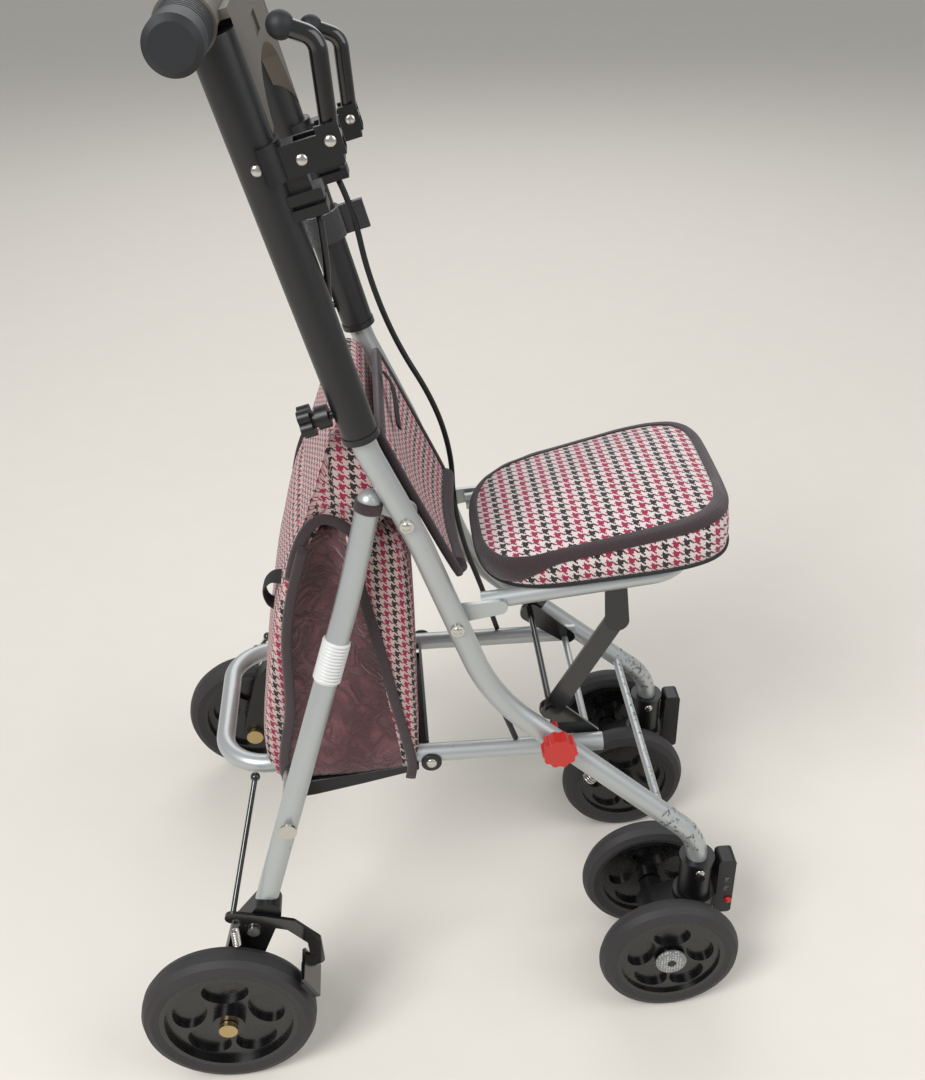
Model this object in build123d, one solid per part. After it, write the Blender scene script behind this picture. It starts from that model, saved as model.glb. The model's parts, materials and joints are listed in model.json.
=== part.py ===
"""Folding four-wheel walking cart with a padded seat, a backrest and a shopping bag.

Millimetres, +X towards the front casters, +Y to the user's left, +Z up. Shapes are drawn
with X measured from the rear axle; every solid is shifted by -origin_x when it is written,
so the origin lies on the floor under the middle of the cart.
"""
from build123d import *
import math
import os

# ---- wheels
rear_wheel_radius = 75.0
rear_wheel_width = 26.7
rear_rim_radius = 59.4
rear_track_half = 200.0
rear_axle_radius = 5.0
caster_wheel_radius = 64.0
caster_wheel_width = 22.0
caster_rim_radius = 49.8
caster_twin_half = 48.3
caster_trail = 31.8
caster_track_half = 115.7
caster_axle_radius = 4.0
wheel_base = 394.0
hub_hole_count = 5
web_thickness = 12.0
stem_radius = 6.0
lock_reach = 35.0
lock_thickness = 16.0

# ---- main tubes and telescoping columns
tube_radius = 9.5
tube_wall = 1.4
frame_half = 103.0
column_lean = 14.92
sleeve_bottom = (146.1, 578.3)
sleeve_length = 286.0
sleeve_bottom_radius = 13.3
sleeve_top_radius = 15.4
column_insert = 225.0
bend_below_sleeve = 10.7
bend_middle = (184.0, 487.0)
bend_low = (238.0, 330.0)
bend_front_z = 158.0
main_bend_radii = [120.0, 300.0, 165.0, 58.0]
leg_hinge_z = 507.2
seat_hinge_z = 407.5
collar_radius = 15.0
collar_low = 101.0
collar_high = 136.0
front_bar_radius = 4.0
front_bar_z = 192.0

# ---- rear legs
leg_top = (148.5, 98.8, 522.0)
leg_knee = (128.0, 110.5, 444.0)
leg_foot_end = (34.8, 170.0, 160.6)
leg_bend_radius = 420.0
tab_thickness = 3.6
frame_pivot = (65.0, 251.0)
pivot_rod_radius = 4.0
foot_inner = 161.0
foot_outer = 180.0

# ---- rear brakes
arm_pivot = (28.6, 159.0)
arm_thickness = 3.0
pad_angle = 26.4
pad_gap = 2.6
pad_thickness = 5.0
rod_top = (34.9, 100.0, 254.0)

# ---- lower frame that carries the bag
lower_half = 80.5
lower_radius = 8.2
lower_front = 339.0
lower_rear = 5.0
lower_bend_radius = 40.0
link_pivot = (293.5, 285.0)
link_rod_radius = 3.0
plate_thickness = 3.0
lower_bar_x = 328.0
lower_bar_radius = 3.2
base_plate_rear = 75.0
base_plate_front = 186.0

# ---- seat
seat_rail_half = 79.5
seat_rail_radius = 7.6
seat_front = 404.0
seat_cushion_rear = 235.0
seat_cushion_front = 446.0
seat_cushion_half = 88.0
seat_cushion_height = 48.0
seat_link_pivot = (346.6, 381.0)
seat_tilt = 6.5

# ---- backrest and bag
backrest_half = 81.5
bag_half = 91.0
flap_half = 80.0

# ---- handle
bar_radius = 12.0
bar_along = 297.0
bar_behind = 9.6
grip_radius = 17.2
grip_start = 120.0
grip_end = 176.3
cover_radius = 19.0
clamp_along = 205.0
clamp_step = 40.0
lever_along = 208.0
lever_forward = 49.0
lever_radius = 6.0
ball_radius = 8.2
pin_radius = 3.0
knob_along = 24.0
cable_radius = 2.5

# ---- clearances
running = 0.08
side_gap = 0.5
fit_gap = 0.1

# ---- worked-out places
stem_x = wheel_base + caster_trail
bend_front = (stem_x, bend_front_z)
lean = math.radians(column_lean)
fork_half = caster_twin_half - caster_wheel_width / 2 - 4.0
arm_inner = foot_outer + 1.0
link_inner = lower_half - lower_radius + side_gap
origin_x = (stem_x + lock_reach - rear_wheel_radius) / 2


def on_line(first, second, z):
    """Point of the side-view line through two points, at a height."""
    share = (z - first[1]) / (second[1] - first[1])
    return (first[0] + share * (second[0] - first[0]), z)


def column_point(along, forward=0.0):
    """Side-view point at a distance up the column and a distance in front of its axis."""
    x = sleeve_bottom[0] - along * math.sin(lean) + forward * math.cos(lean)
    z = sleeve_bottom[1] + along * math.cos(lean) + forward * math.sin(lean)
    return (x, z)


bend_top = column_point(-bend_below_sleeve)
leg_hinge = on_line(bend_top, bend_middle, leg_hinge_z)
seat_hinge = on_line(bend_middle, bend_low, seat_hinge_z)
knob_at = link_pivot


def column_plane(along, side, forward=0.0):
    """Plane across a column, its z pointing up the column and its x forwards."""
    x, z = column_point(along, forward)
    return Plane(origin=(x, side * frame_half, z), x_dir=(math.cos(lean), 0, math.sin(lean)),
                 z_dir=(-math.sin(lean), 0, math.cos(lean)))


def side_plane(y):
    """Side-view plane at a y: local x is X, local y is Z, extrusion goes towards -Y."""
    return Plane(origin=(0, y, 0), x_dir=(1, 0, 0), z_dir=(0, -1, 0))


def slab(outline, y_low, y_high):
    """A side-view face thickened between two y values."""
    low, high = min(y_low, y_high), max(y_low, y_high)
    return extrude(side_plane(high) * outline, high - low)


def cross_rod(centre, radius, y_low, y_high):
    """Round bar along Y."""
    low, high = min(y_low, y_high), max(y_low, y_high)
    place = Plane(origin=(centre[0], low, centre[1]), x_dir=(1, 0, 0), z_dir=(0, 1, 0))
    return place * Cylinder(radius, high - low, align=(Align.CENTER, Align.CENTER, Align.MIN))


def ring(centre, outer, inner, y_low, y_high):
    """Bush along Y."""
    return cross_rod(centre, outer, y_low, y_high) - cross_rod(centre, inner, y_low - 1, y_high + 1)


def rod_between(start, end, radius):
    """Straight round bar between two points."""
    line = Edge.make_line(start, end)
    return sweep(Plane(origin=start, z_dir=line % 0) * Circle(radius), line)


def bent_rod(points, radii, radius):
    """Round bar along straight runs joined by tangent arcs."""
    path = FilletPolyline(*points, radius=radii)
    return sweep(Plane(origin=path @ 0, z_dir=path % 0) * Circle(radius), path)


def bent_tube(points, radii, outer, wall):
    """Hollow tube along straight runs joined by tangent arcs."""
    return bent_rod(points, radii, outer) - bent_rod(points, radii, outer - wall)


# ------------------------------------------------------------------ main frame
def main_tube_points(side):
    top = column_point(column_insert)
    y = side * frame_half
    y_front = side * caster_track_half
    return [(top[0], y, top[1]), (bend_top[0], y, bend_top[1]), (bend_middle[0], y, bend_middle[1]),
            (bend_low[0], y, bend_low[1]), (bend_front[0], y_front, bend_front[1]),
            (stem_x, y_front, collar_low)]


def main_tube(side):
    tube = bent_tube(main_tube_points(side), main_bend_radii, tube_radius, tube_wall)
    for pivot in (leg_hinge, seat_hinge):
        tube -= cross_rod(pivot, 3.0 + fit_gap, side * 80, side * 130)
    if side < 0:
        tube -= cross_rod(knob_at, 3.0 + running, side * 80, side * 130)
    return tube


def front_cross_bar():
    x, z = on_line(bend_low, bend_front, front_bar_z)
    bar = cross_rod((x, z), front_bar_radius, -caster_track_half, caster_track_half)
    for side in (-1, 1):
        bar -= bent_rod(main_tube_points(side), main_bend_radii, tube_radius)
    return bar.solid()


def hinge_bolt(pivot, side):
    """Rivet through a main tube: round head outside, shank inwards through the tab."""
    inner = side * (frame_half - tube_radius - side_gap - tab_thickness - 0.4)
    outer = side * (frame_half + tube_radius + 0.2)
    shank = cross_rod(pivot, 3.0, inner, outer)
    head = cross_rod(pivot, 5.4, outer, outer + side * 2.6)
    return shank + head


def caster_collar(side):
    """Plastic socket on the tube's lower end; the caster's stem turns in it."""
    y = side * caster_track_half
    height = collar_high - collar_low + 8
    body = Pos(stem_x, y, collar_low - 8) * Cylinder(
        collar_radius, height, align=(Align.CENTER, Align.CENTER, Align.MIN))
    rim = Pos(stem_x, y, collar_high - 4) * Cylinder(
        collar_radius + 1.2, 4, align=(Align.CENTER, Align.CENTER, Align.MIN))
    body += rim
    body -= Pos(stem_x, y, collar_low) * Cylinder(
        tube_radius + fit_gap, 60, align=(Align.CENTER, Align.CENTER, Align.MIN))
    body -= bent_rod(main_tube_points(side), main_bend_radii, tube_radius + fit_gap)
    body -= Pos(stem_x, y, collar_low - 9) * Cylinder(
        stem_radius + running, 20, align=(Align.CENTER, Align.CENTER, Align.MIN))
    bolt = cross_rod((stem_x, 122.0), 4.2, y - side * -(collar_radius - 0.6), y + side * (collar_radius + 2))
    return (body + bolt - Pos(stem_x, y, 122) * Cylinder(tube_radius + fit_gap, 40)).solid()


# ------------------------------------------------------------------ casters
def caster_fork(side):
    """Swivelling yoke: stem, trailing block and the axle that carries both wheels."""
    y = side * caster_track_half
    stem = Pos(stem_x, y, 60) * Cylinder(stem_radius, collar_low - 61, align=(
        Align.CENTER, Align.CENTER, Align.MIN))
    outline = make_hull((Pos(stem_x, collar_low - 25) * Circle(15)).edges()
                        + (Pos(wheel_base, caster_wheel_radius) * Circle(17)).edges())
    block = slab(outline, y - 17, y + 17)
    cap = Pos(stem_x, y, 74) * Cylinder(19, collar_low - 9.0 - 74, align=(
        Align.CENTER, Align.CENTER, Align.MIN))
    boss = cross_rod((wheel_base, caster_wheel_radius), 11, y - fork_half, y + fork_half)
    reach = caster_twin_half + caster_wheel_width / 2 + 2
    axle = cross_rod((wheel_base, caster_wheel_radius), caster_axle_radius, y - reach, y + reach)
    return (stem + block + cap + boss + axle).solid()


def caster_lock(side):
    """Block in front of the swivel that carries the direction lock and its button."""
    y = side * caster_track_half
    outline = Pos(stem_x + lock_reach - lock_thickness / 2, 101) * RectangleRounded(lock_thickness, 68, 4)
    body = slab(outline, y - 9.5, y + 9.5)
    arm = Pos(stem_x + 19.5, y, 84) * Box(9, 19, 14)
    button = Pos(stem_x + 31, y + side * 9.5, 84) * Rot(90, 0, 0) * Cylinder(3.2, 3)
    body += arm + button
    return (body - Pos(stem_x, y, 80) * Cylinder(19 + fit_gap, 60)).solid()


def wheel_tyre(centre, y, radius, rim, width):
    """Solid tyre with a crowned tread."""
    half = width / 2
    profile = Plane.XY * make_face(Polyline(
        (rim + fit_gap, -half + 2), (radius - 9, -half), (radius - 3.2, -half + 2.2), (radius - 0.4, -half + 8),
        (radius, 0), (radius - 0.4, half - 8), (radius - 3.2, half - 2.2), (radius - 9, half),
        (rim + fit_gap, half - 2), close=True))
    body = revolve(profile, Axis.Y)
    return Pos(centre[0], y, centre[1]) * body


def wheel_hub(centre, y, rim, width, bore, boss):
    """Moulded wheel centre: rim ring, web with oval pockets on both faces and a boss."""
    drum = Rot(90, 0, 0) * (Cylinder(rim, width - 4) - Cylinder(rim - 4.5, width))
    web = Rot(90, 0, 0) * Cylinder(rim - 4.5, web_thickness)
    pocket = (rim - 4.5 - boss) * 0.36
    middle = (rim - 4.5 + boss) / 2
    for index in range(hub_hole_count):
        turn = 90 + index * 360 / hub_hole_count
        oval = Rot(0, 0, turn) * Pos(middle, 0) * Ellipse(pocket, pocket * 1.36)
        web -= slab(oval, -width, width)
    web += Rot(90, 0, 0) * Cylinder(rim - 4.5, 2.0)
    core = Rot(90, 0, 0) * Cylinder(boss, width + 1)
    body = drum + web + core - Rot(90, 0, 0) * Cylinder(bore + running, 2 * width)
    return Pos(centre[0], y, centre[1]) * body.solid()


# ------------------------------------------------------------------ rear legs
def leg_points(side):
    return [(p[0], side * p[1], p[2]) for p in (leg_top, leg_knee, leg_foot_end)]


def rear_leg(side):
    """Splayed leg tube with a flat hinge tab at its top."""
    points = leg_points(side)
    tube = bent_tube(points, leg_bend_radius, tube_radius, tube_wall)
    dome = Pos(*points[0]) * Sphere(tube_radius)
    dome -= bent_rod(points, leg_bend_radius, tube_radius - tube_wall)
    outer = side * (frame_half - tube_radius - side_gap)
    outline = make_hull((Pos(*leg_hinge) * Circle(9)).edges()
                        + (Pos(leg_top[0] + 2, leg_top[2] - 4) * Circle(8)).edges())
    tab = slab(outline, outer, outer - side * tab_thickness)
    tab -= cross_rod(leg_hinge, 3.0 + running, side * 80, side * 130)
    tab -= bent_rod(points, leg_bend_radius, tube_radius - tube_wall)
    leg = tube + dome + tab
    leg -= cross_rod(frame_pivot, pivot_rod_radius + fit_gap, side * 120, side * 180)
    return leg.solid()


def leg_foot(side):
    """Moulded bracket between the leg's end and the rear axle."""
    end = leg_foot_end
    outline = make_hull((Pos(end[0] + 6, end[2] + 12) * Circle(12)).edges()
                        + (Pos(end[0] - 16, end[2] - 16) * Circle(12)).edges()
                        + (Pos(0, rear_wheel_radius) * Circle(13)).edges())
    body = slab(outline, side * foot_inner, side * foot_outer)
    down = (end[0] - leg_knee[0], end[1] - leg_knee[1], end[2] - leg_knee[2])
    top = (end[0] - down[0], side * (end[1] - down[1]), end[2] - down[2])
    body -= rod_between(top, (end[0], side * end[1], end[2]), tube_radius + fit_gap)
    body -= cross_rod((0, rear_wheel_radius), rear_axle_radius + fit_gap, side * 150, side * 190)
    body -= cross_rod(arm_pivot, pin_radius + fit_gap, side * 150, side * 190)
    return body.solids().sort_by(SortBy.VOLUME)[-1]


def rear_axle(side):
    """Bolt that carries a rear wheel, with its head inside and its nut outside."""
    hub_face = rear_track_half + rear_wheel_width / 2
    shaft = cross_rod((0, rear_wheel_radius), rear_axle_radius, side * (foot_inner - 1), side * (hub_face + 4))
    head = cross_rod((0, rear_wheel_radius), 9, side * (foot_inner - 6), side * (foot_inner - 0.6))
    nut = cross_rod((0, rear_wheel_radius), 8, side * (hub_face + 1.2), side * (hub_face + 6))
    return (shaft + head + nut).solid()


def frame_pivot_rod():
    """Rod between the legs on which the lower frame turns."""
    leg_y = leg_knee[1] + (frame_pivot[1] - leg_knee[2]) / (leg_foot_end[2] - leg_knee[2]) * (
        leg_foot_end[1] - leg_knee[1])
    reach = leg_y + tube_radius + 2.5
    rod = cross_rod(frame_pivot, pivot_rod_radius, -reach, reach)
    for side in (-1, 1):
        rod += cross_rod(frame_pivot, 7.5, side * reach, side * (reach + 2.5))
        spacer = cross_rod(frame_pivot, 6.5, side * (lower_half + lower_radius + side_gap), side * leg_y)
        rod += spacer - bent_rod(leg_points(side), leg_bend_radius, tube_radius + fit_gap)
    return rod.solid()


# ------------------------------------------------------------------ rear brakes
def pad_plane(side, radius):
    """Plane touching a circle round the rear axle where the pad meets the tyre."""
    turn = math.radians(pad_angle)
    return Plane(origin=(radius * math.cos(turn), side * rear_track_half,
                         rear_wheel_radius + radius * math.sin(turn)),
                 x_dir=(-math.sin(turn), 0, math.cos(turn)), z_dir=(math.cos(turn), 0, math.sin(turn)))


def brake_arm(side):
    """Bell-crank: flat arm over the tyre, its pad carrier and the pull rod."""
    spots = [(12, 175), (36, 169), (60, 161), (78, 140), (79, 116)]
    outline = Sketch()
    for first, second in zip(spots, spots[1:]):
        outline += make_hull((Pos(*first) * Circle(6)).edges() + (Pos(*second) * Circle(6)).edges())
    strip = slab(outline, side * arm_inner, side * (arm_inner + arm_thickness))
    strip += cross_rod(arm_pivot, 8.5, side * arm_inner, side * (arm_inner + arm_thickness))
    strip -= cross_rod(arm_pivot, pin_radius + running, side * 150, side * 200)
    plate_radius = rear_wheel_radius + pad_gap + pad_thickness
    inner_edge = rear_track_half - arm_inner
    outer_edge = rear_wheel_width / 2
    carrier = pad_plane(side, plate_radius) * Pos(
        4, side * (inner_edge - outer_edge) / 2, 1.5 + fit_gap) * Box(26, inner_edge + outer_edge, 3)
    rod = rod_between((12.5, side * (arm_inner + 1), 176), (rod_top[0], side * rod_top[1], rod_top[2]), 2.4)
    eye = Pos(rod_top[0], side * rod_top[1], rod_top[2]) * Sphere(4.2)
    return (strip + carrier + rod + eye).solid()


def brake_pad(side):
    """Rubber block that the arm presses on the tyre."""
    radius = rear_wheel_radius + pad_gap + pad_thickness / 2
    return pad_plane(side, radius) * Box(20, rear_wheel_width - 3, pad_thickness)


def arm_pin(side):
    """Screw on which the brake arm turns."""
    low = foot_outer - 14
    high = arm_inner + arm_thickness
    shank = cross_rod(arm_pivot, pin_radius, side * low, side * (high + 0.6))
    return shank + cross_rod(arm_pivot, 5.2, side * (high + 0.5), side * (high + 2.6))


# ------------------------------------------------------------------ lower frame
def lower_points():
    z = frame_pivot[1]
    return [(lower_front, -lower_half, z), (lower_rear, -lower_half, z), (lower_rear, lower_half, z),
            (lower_front, lower_half, z)]


def lower_frame_tube():
    """Flat U of tube, closed at the rear, that carries the bag."""
    tube = bent_tube(lower_points(), lower_bend_radius, lower_radius, tube_wall)
    tube -= cross_rod(frame_pivot, pivot_rod_radius + running, -120, 120)
    return tube.solid()


def lower_cross_bar():
    """Thin bar between the plates at the front of the lower frame."""
    reach = link_inner - plate_thickness
    return cross_rod((lower_bar_x, frame_pivot[1]), lower_bar_radius, -reach, reach)


def link_bracket():
    """Plates inside the lower frame's tubes and the rod between them that the seat links end on."""
    shape = cross_rod(link_pivot, link_rod_radius, -link_inner, link_inner)
    outline = make_hull((Pos(*link_pivot) * Circle(10)).edges()
                        + (Pos(lower_front - 8, frame_pivot[1] + 2) * Circle(7)).edges())
    for side in (-1, 1):
        plate = slab(outline, side * link_inner, side * (link_inner - plate_thickness))
        shape += plate - bent_rod(lower_points(), lower_bend_radius, lower_radius)
    return shape.solids().sort_by(SortBy.VOLUME)[-1]


def bag_base_plate():
    """Stiff tray under the bag, hung between the lower frame's side tubes."""
    z = frame_pivot[1]
    thick = 2.5
    outline = Polyline((base_plate_rear, z - 22), (base_plate_rear, z - 22 - thick),
                       (base_plate_front, z - 7 - thick), (base_plate_front, z + 5),
                       (base_plate_front - thick, z + 5), (base_plate_front - thick, z - 7), close=True)
    width = lower_half - lower_radius - side_gap
    return slab(make_face(outline), -width, width)


# ------------------------------------------------------------------ seat
def tilted(shape):
    """A seat shape drawn level, turned up to the seat's slope about its hinge."""
    x, z = seat_hinge
    return Pos(x, 0, z) * Rot(0, -seat_tilt, 0) * Pos(-x, 0, -z) * shape


def seat_rail(radius):
    """Bar along the seat's U-shaped rail, at the seat's slope."""
    z = seat_hinge[1]
    start = seat_hinge[0] + 22
    points = [(start, -seat_rail_half, z), (seat_front, -seat_rail_half, z), (seat_front, seat_rail_half, z),
              (start, seat_rail_half, z)]
    return tilted(bent_rod(points, 30.0, radius))


def seat_frame():
    """U-shaped rail with flat hinge ends and the ears that hold the links."""
    x, z = seat_hinge
    bore = seat_rail(seat_rail_radius - tube_wall)
    frame = seat_rail(seat_rail_radius) - bore
    link_outer = link_inner + side_gap + plate_thickness
    rise = (seat_link_pivot[0] - x) * math.tan(math.radians(seat_tilt))
    hang = make_hull((Pos(*seat_link_pivot) * Circle(10)).edges()
                     + (Pos(seat_link_pivot[0] - 3, z + rise - 3) * Circle(9)).edges())
    for side in (-1, 1):
        outer = side * (frame_half - tube_radius - side_gap)
        ear = slab(make_hull((Pos(x, z) * Circle(8.5)).edges() + (Pos(x + 36, z) * Circle(6.5)).edges()),
                   outer, outer - side * tab_thickness)
        ear += Pos(x + 34, side * (seat_rail_half + 5.5), z) * Box(10, 9, 9)
        ear = tilted(ear) - cross_rod(seat_hinge, pin_radius + running, side * 80, side * 130)
        low = side * (link_outer + side_gap)
        plate = slab(hang, low, low + side * plate_thickness)
        frame += ear - bore + (plate - bore)
        frame += cross_rod(seat_link_pivot, link_rod_radius, side * (link_outer + 1), side * (link_inner + 0.1))
    return frame.solids().sort_by(SortBy.VOLUME)[-1]


def seat_cushion():
    """Padded seat on a stiff board, narrow enough to fold between the columns."""
    low = seat_hinge[1] + seat_rail_radius + fit_gap
    length = seat_cushion_front - seat_cushion_rear
    middle = (seat_cushion_front + seat_cushion_rear) / 2
    body = Pos(middle, 0, low) * extrude(RectangleRounded(length, 2 * seat_cushion_half, 38),
                                         seat_cushion_height)
    top = body.faces().sort_by(Axis.Z)[-1]
    return tilted(fillet(top.edges(), 8))


def seat_link(side):
    """Flat strap from the seat's ear to the end of the rod on the lower frame."""
    low = side * (link_inner + side_gap)
    outline = make_hull((Pos(*seat_link_pivot) * Circle(9)).edges()
                        + (Pos(*link_pivot) * Circle(9)).edges())
    strap = slab(outline, low, low + side * plate_thickness)
    strap += cross_rod(link_pivot, 5.5, low + side * plate_thickness, low + side * (plate_thickness + 2))
    return strap - cross_rod(seat_link_pivot, link_rod_radius + running, -120, 120)


# ------------------------------------------------------------------ backrest and bag
def backrest_cushion():
    """Padded panel hung between the columns, in front of them."""
    outline = Polyline((209, 436), (153, 561), (166, 566), (222, 441), close=True)
    return slab(make_face(outline), -backrest_half, backrest_half)


def bag_body():
    """Shopping bag behind the backrest, with channels for the frame that runs through it."""
    z = frame_pivot[1]
    outline = Polyline((42, z + 14), (50, z - 8), (74, z - 21.4), (176, z - 7), (177, 470), (158, 508),
                       (128, 514), (102, 502), (87, 479), (68, 420), (54, 360), close=True)
    body = slab(make_face(outline), -bag_half, bag_half)
    flap = Polyline((100, 500), (108, 530), (123, 572), (138, 576), (149, 562), (166, 505), (177, 470),
                    (100, 470), close=True)
    body += slab(make_face(flap), -flap_half, flap_half)
    for side in (-1, 1):
        body -= bent_rod(leg_points(side), leg_bend_radius, tube_radius + 1)
        body -= cross_rod(leg_hinge, 13, side * 84, side * 100)
        body -= Pos(leg_top[0], side * 96, leg_top[2]) * Box(50, 22, 40)
    body -= bent_rod(lower_points(), lower_bend_radius, lower_radius + 1)
    body -= cross_rod(frame_pivot, pivot_rod_radius + 1, -120, 120)
    body -= cross_rod(frame_pivot, 8, -120, -80) + cross_rod(frame_pivot, 8, 80, 120)
    for side in (-1, 1):
        body -= Pos(120, side * (lower_half + 10), z - 25) * Box(200, 2 * (lower_radius + 11), 50)
    return body.solids().sort_by(SortBy.VOLUME)[-1]


# ------------------------------------------------------------------ handle
def handle_sleeve(side):
    """Outer column: a slightly flared tube that slides on the main tube."""
    body = column_plane(0, side) * Cone(
        sleeve_bottom_radius, sleeve_top_radius, sleeve_length, align=(Align.CENTER, Align.CENTER, Align.MIN))
    body += column_plane(0, side) * Cylinder(
        sleeve_bottom_radius + 0.8, 5, align=(Align.CENTER, Align.CENTER, Align.MIN))
    body -= column_plane(-1, side) * Cylinder(
        tube_radius + running, sleeve_length - 20, align=(Align.CENTER, Align.CENTER, Align.MIN))
    body -= bar_solid(bar_radius + fit_gap, 200)
    x, z = column_point(knob_along)
    place = Plane(origin=(x, side * frame_half, z), z_dir=(-math.cos(lean), 0, -math.sin(lean)))
    body -= place * Cylinder(3.0 + running, 40, align=(Align.CENTER, Align.CENTER, Align.MIN))
    return body.solids().sort_by(SortBy.VOLUME)[-1]


def bar_centre():
    return column_point(bar_along, -bar_behind)


def bar_solid(radius, reach):
    return cross_rod(bar_centre(), radius, -reach, reach)


def handle_bar():
    """Cross bar that joins the columns and carries the grips."""
    return bar_solid(bar_radius, grip_end - 3)


def grip(side):
    """Ribbed rubber grip with a domed end."""
    centre = bar_centre()
    body = cross_rod(centre, grip_radius, side * grip_start, side * grip_end)
    groove_pitch = 5.0
    for index in range(6):
        y = side * (grip_start + 6 + index * groove_pitch)
        body -= ring(centre, grip_radius + 1, grip_radius - 0.9, y - 1, y + 1)
    dome = Pos(centre[0], side * grip_end, centre[1]) * Rot(side * -90, 0, 0) * Cone(
        grip_radius, grip_radius - 4, 3.4, align=(Align.CENTER, Align.CENTER, Align.MIN))
    body += dome
    return (body - bar_solid(bar_radius + fit_gap, grip_end - 3 + fit_gap)).solid()


def handle_cover():
    """Moulded cover over the bar, its web arched between the columns."""
    body = bar_solid(cover_radius, grip_start - 1)
    low = clamp_along + 14.5
    x, z = column_point(0, 2)
    face = Plane(origin=(x, 0, z), x_dir=(0, 1, 0), z_dir=(math.cos(lean), 0, math.sin(lean)))
    outline = Pos(0, (low + bar_along) / 2) * Rectangle(2 * (frame_half - 2), bar_along - low)
    outline -= Pos(0, low - 10) * Ellipse(frame_half - 16, 44)
    outline += make_face(Polyline((frame_half - 2, 190), (frame_half - 2, 245), (66, 245), close=True))
    body += extrude(face * outline, 13)
    pocket = face * Pos(8, 268, 13) * Box(30, 14, 4)
    body -= pocket
    body -= bar_solid(bar_radius + fit_gap, 200)
    for side in (-1, 1):
        body -= column_plane(-1, side) * Cone(
            sleeve_bottom_radius + fit_gap, sleeve_top_radius + 2 * fit_gap, sleeve_length + 6,
            align=(Align.CENTER, Align.CENTER, Align.MIN))
    return body.solids().sort_by(SortBy.VOLUME)[-1]


def clamp_shift(side):
    """The left clamp sits one step lower on its column than the right one."""
    return clamp_step if side > 0 else 0.0


def brake_clamp(side):
    """Clamp on a column with the two cheeks, the pin and the clip of a brake lever."""
    base = clamp_along - clamp_shift(side)
    place = column_plane(base, side)
    saddle = place * Cylinder(sleeve_top_radius + 3.2, 25)
    body = saddle - place * Pos(-16, 0, 0) * Box(40, 60, 40)
    body += place * Pos(30, 0, -2) * Box(48, 19, 21)
    body += place * Pos(17, 0, -26) * Box(34, 21, 7)
    body += place * Pos(17, 0, -36) * Box(34, 21, 7)
    body += place * Pos(20, 0, -24) * Box(16, 13, 32)
    cheek = place * Pos(lever_forward, 0, 3) * Box(15, 19, 21)
    body += cheek
    body -= place * Pos(lever_forward - 6, 0, 7) * Box(34, 2 * (lever_radius + side_gap), 26)
    body += place * Pos(lever_forward, 0, lever_along - clamp_along) * Rot(90, 0, 0) * Cylinder(
        pin_radius, 21)
    body -= column_plane(-1, side) * Cone(
        sleeve_bottom_radius + fit_gap, sleeve_top_radius + 2 * fit_gap, sleeve_length + 6,
        align=(Align.CENTER, Align.CENTER, Align.MIN))
    return body.solids().sort_by(SortBy.VOLUME)[-1]


def brake_lever(side):
    """Lever with a ball end, turned back towards the grip."""
    shift = clamp_shift(side)
    y = side * frame_half
    spots = ((lever_along, lever_forward), (266.0, 60.5), (279.0, 42.0))
    points = []
    for along, forward in spots:
        x, z = column_point(along - shift, forward)
        points.append((x, y, z))
    body = bent_rod(points, 12.0, lever_radius)
    path = FilletPolyline(*points, radius=12.0)
    body += Plane(origin=path @ 1, z_dir=path % 1) * Sphere(ball_radius)
    pivot = (points[0][0], points[0][2])
    body += cross_rod(pivot, 7.5, y - lever_radius - 0.3, y + lever_radius + 0.3)
    return body - cross_rod(pivot, pin_radius + running, y - 20, y + 20)


def height_knob(side):
    """Star knob whose screw clamps the sleeve on the main tube."""
    x, z = column_point(knob_along)
    place = Plane(origin=(x, side * frame_half, z), z_dir=(-math.cos(lean), 0, -math.sin(lean)))
    screw = place * Pos(0, 0, tube_radius + 0.4) * Cylinder(3.0, 16, align=(Align.CENTER, Align.CENTER, Align.MIN))
    boss = place * Pos(0, 0, sleeve_top_radius + 0.6) * Cylinder(8.5, 9, align=(
        Align.CENTER, Align.CENTER, Align.MIN))
    body = screw + boss
    neck = sleeve_top_radius + 9
    body += place * Pos(0, 0, neck) * Cylinder(6, 5, align=(Align.CENTER, Align.CENTER, Align.MIN))
    for index in range(5):
        body += place * Rot(0, 0, index * 72) * Pos(7, 0, neck + 4) * Cylinder(
            5.2, 9, align=(Align.CENTER, Align.CENTER, Align.MIN))
    body += place * Pos(0, 0, neck + 4) * Cylinder(7, 9, align=(Align.CENTER, Align.CENTER, Align.MIN))
    return body.solid()


def cable_strap():
    """Hook-and-loop strap round the left column that holds the cable."""
    place = column_plane(92, 1)
    body = place * Cylinder(sleeve_top_radius + 1.6, 24)
    body += place * Pos(20, 0, 0) * Box(34, 5, 24)
    points = cable_points(1)
    body -= bent_rod(points, corner_radii(points), cable_radius + fit_gap)
    body -= column_plane(-1, 1) * Cone(
        sleeve_bottom_radius + fit_gap, sleeve_top_radius + 2 * fit_gap, sleeve_length + 6,
        align=(Align.CENTER, Align.CENTER, Align.MIN))
    return body.solids().sort_by(SortBy.VOLUME)[-1]


def lock_knob():
    """Scalloped knob whose screw locks the unfolded frame."""
    face = frame_half + tube_radius + 5.0
    body = cross_rod(knob_at, 3.0, -(face + 2), -(frame_half - tube_radius - 1))
    body += cross_rod(knob_at, 8.0, -face - 2, -face + 0.2)
    body += cross_rod(knob_at, 13.4, -(face + 14), -(face + 1.5))
    for index in range(10):
        angle = math.radians(index * 36)
        centre = (knob_at[0] + 11.6 * math.cos(angle), knob_at[1] + 11.6 * math.sin(angle))
        body += cross_rod(centre, 3.4, -(face + 14), -(face + 1.5))
    return body.solid()


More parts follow.
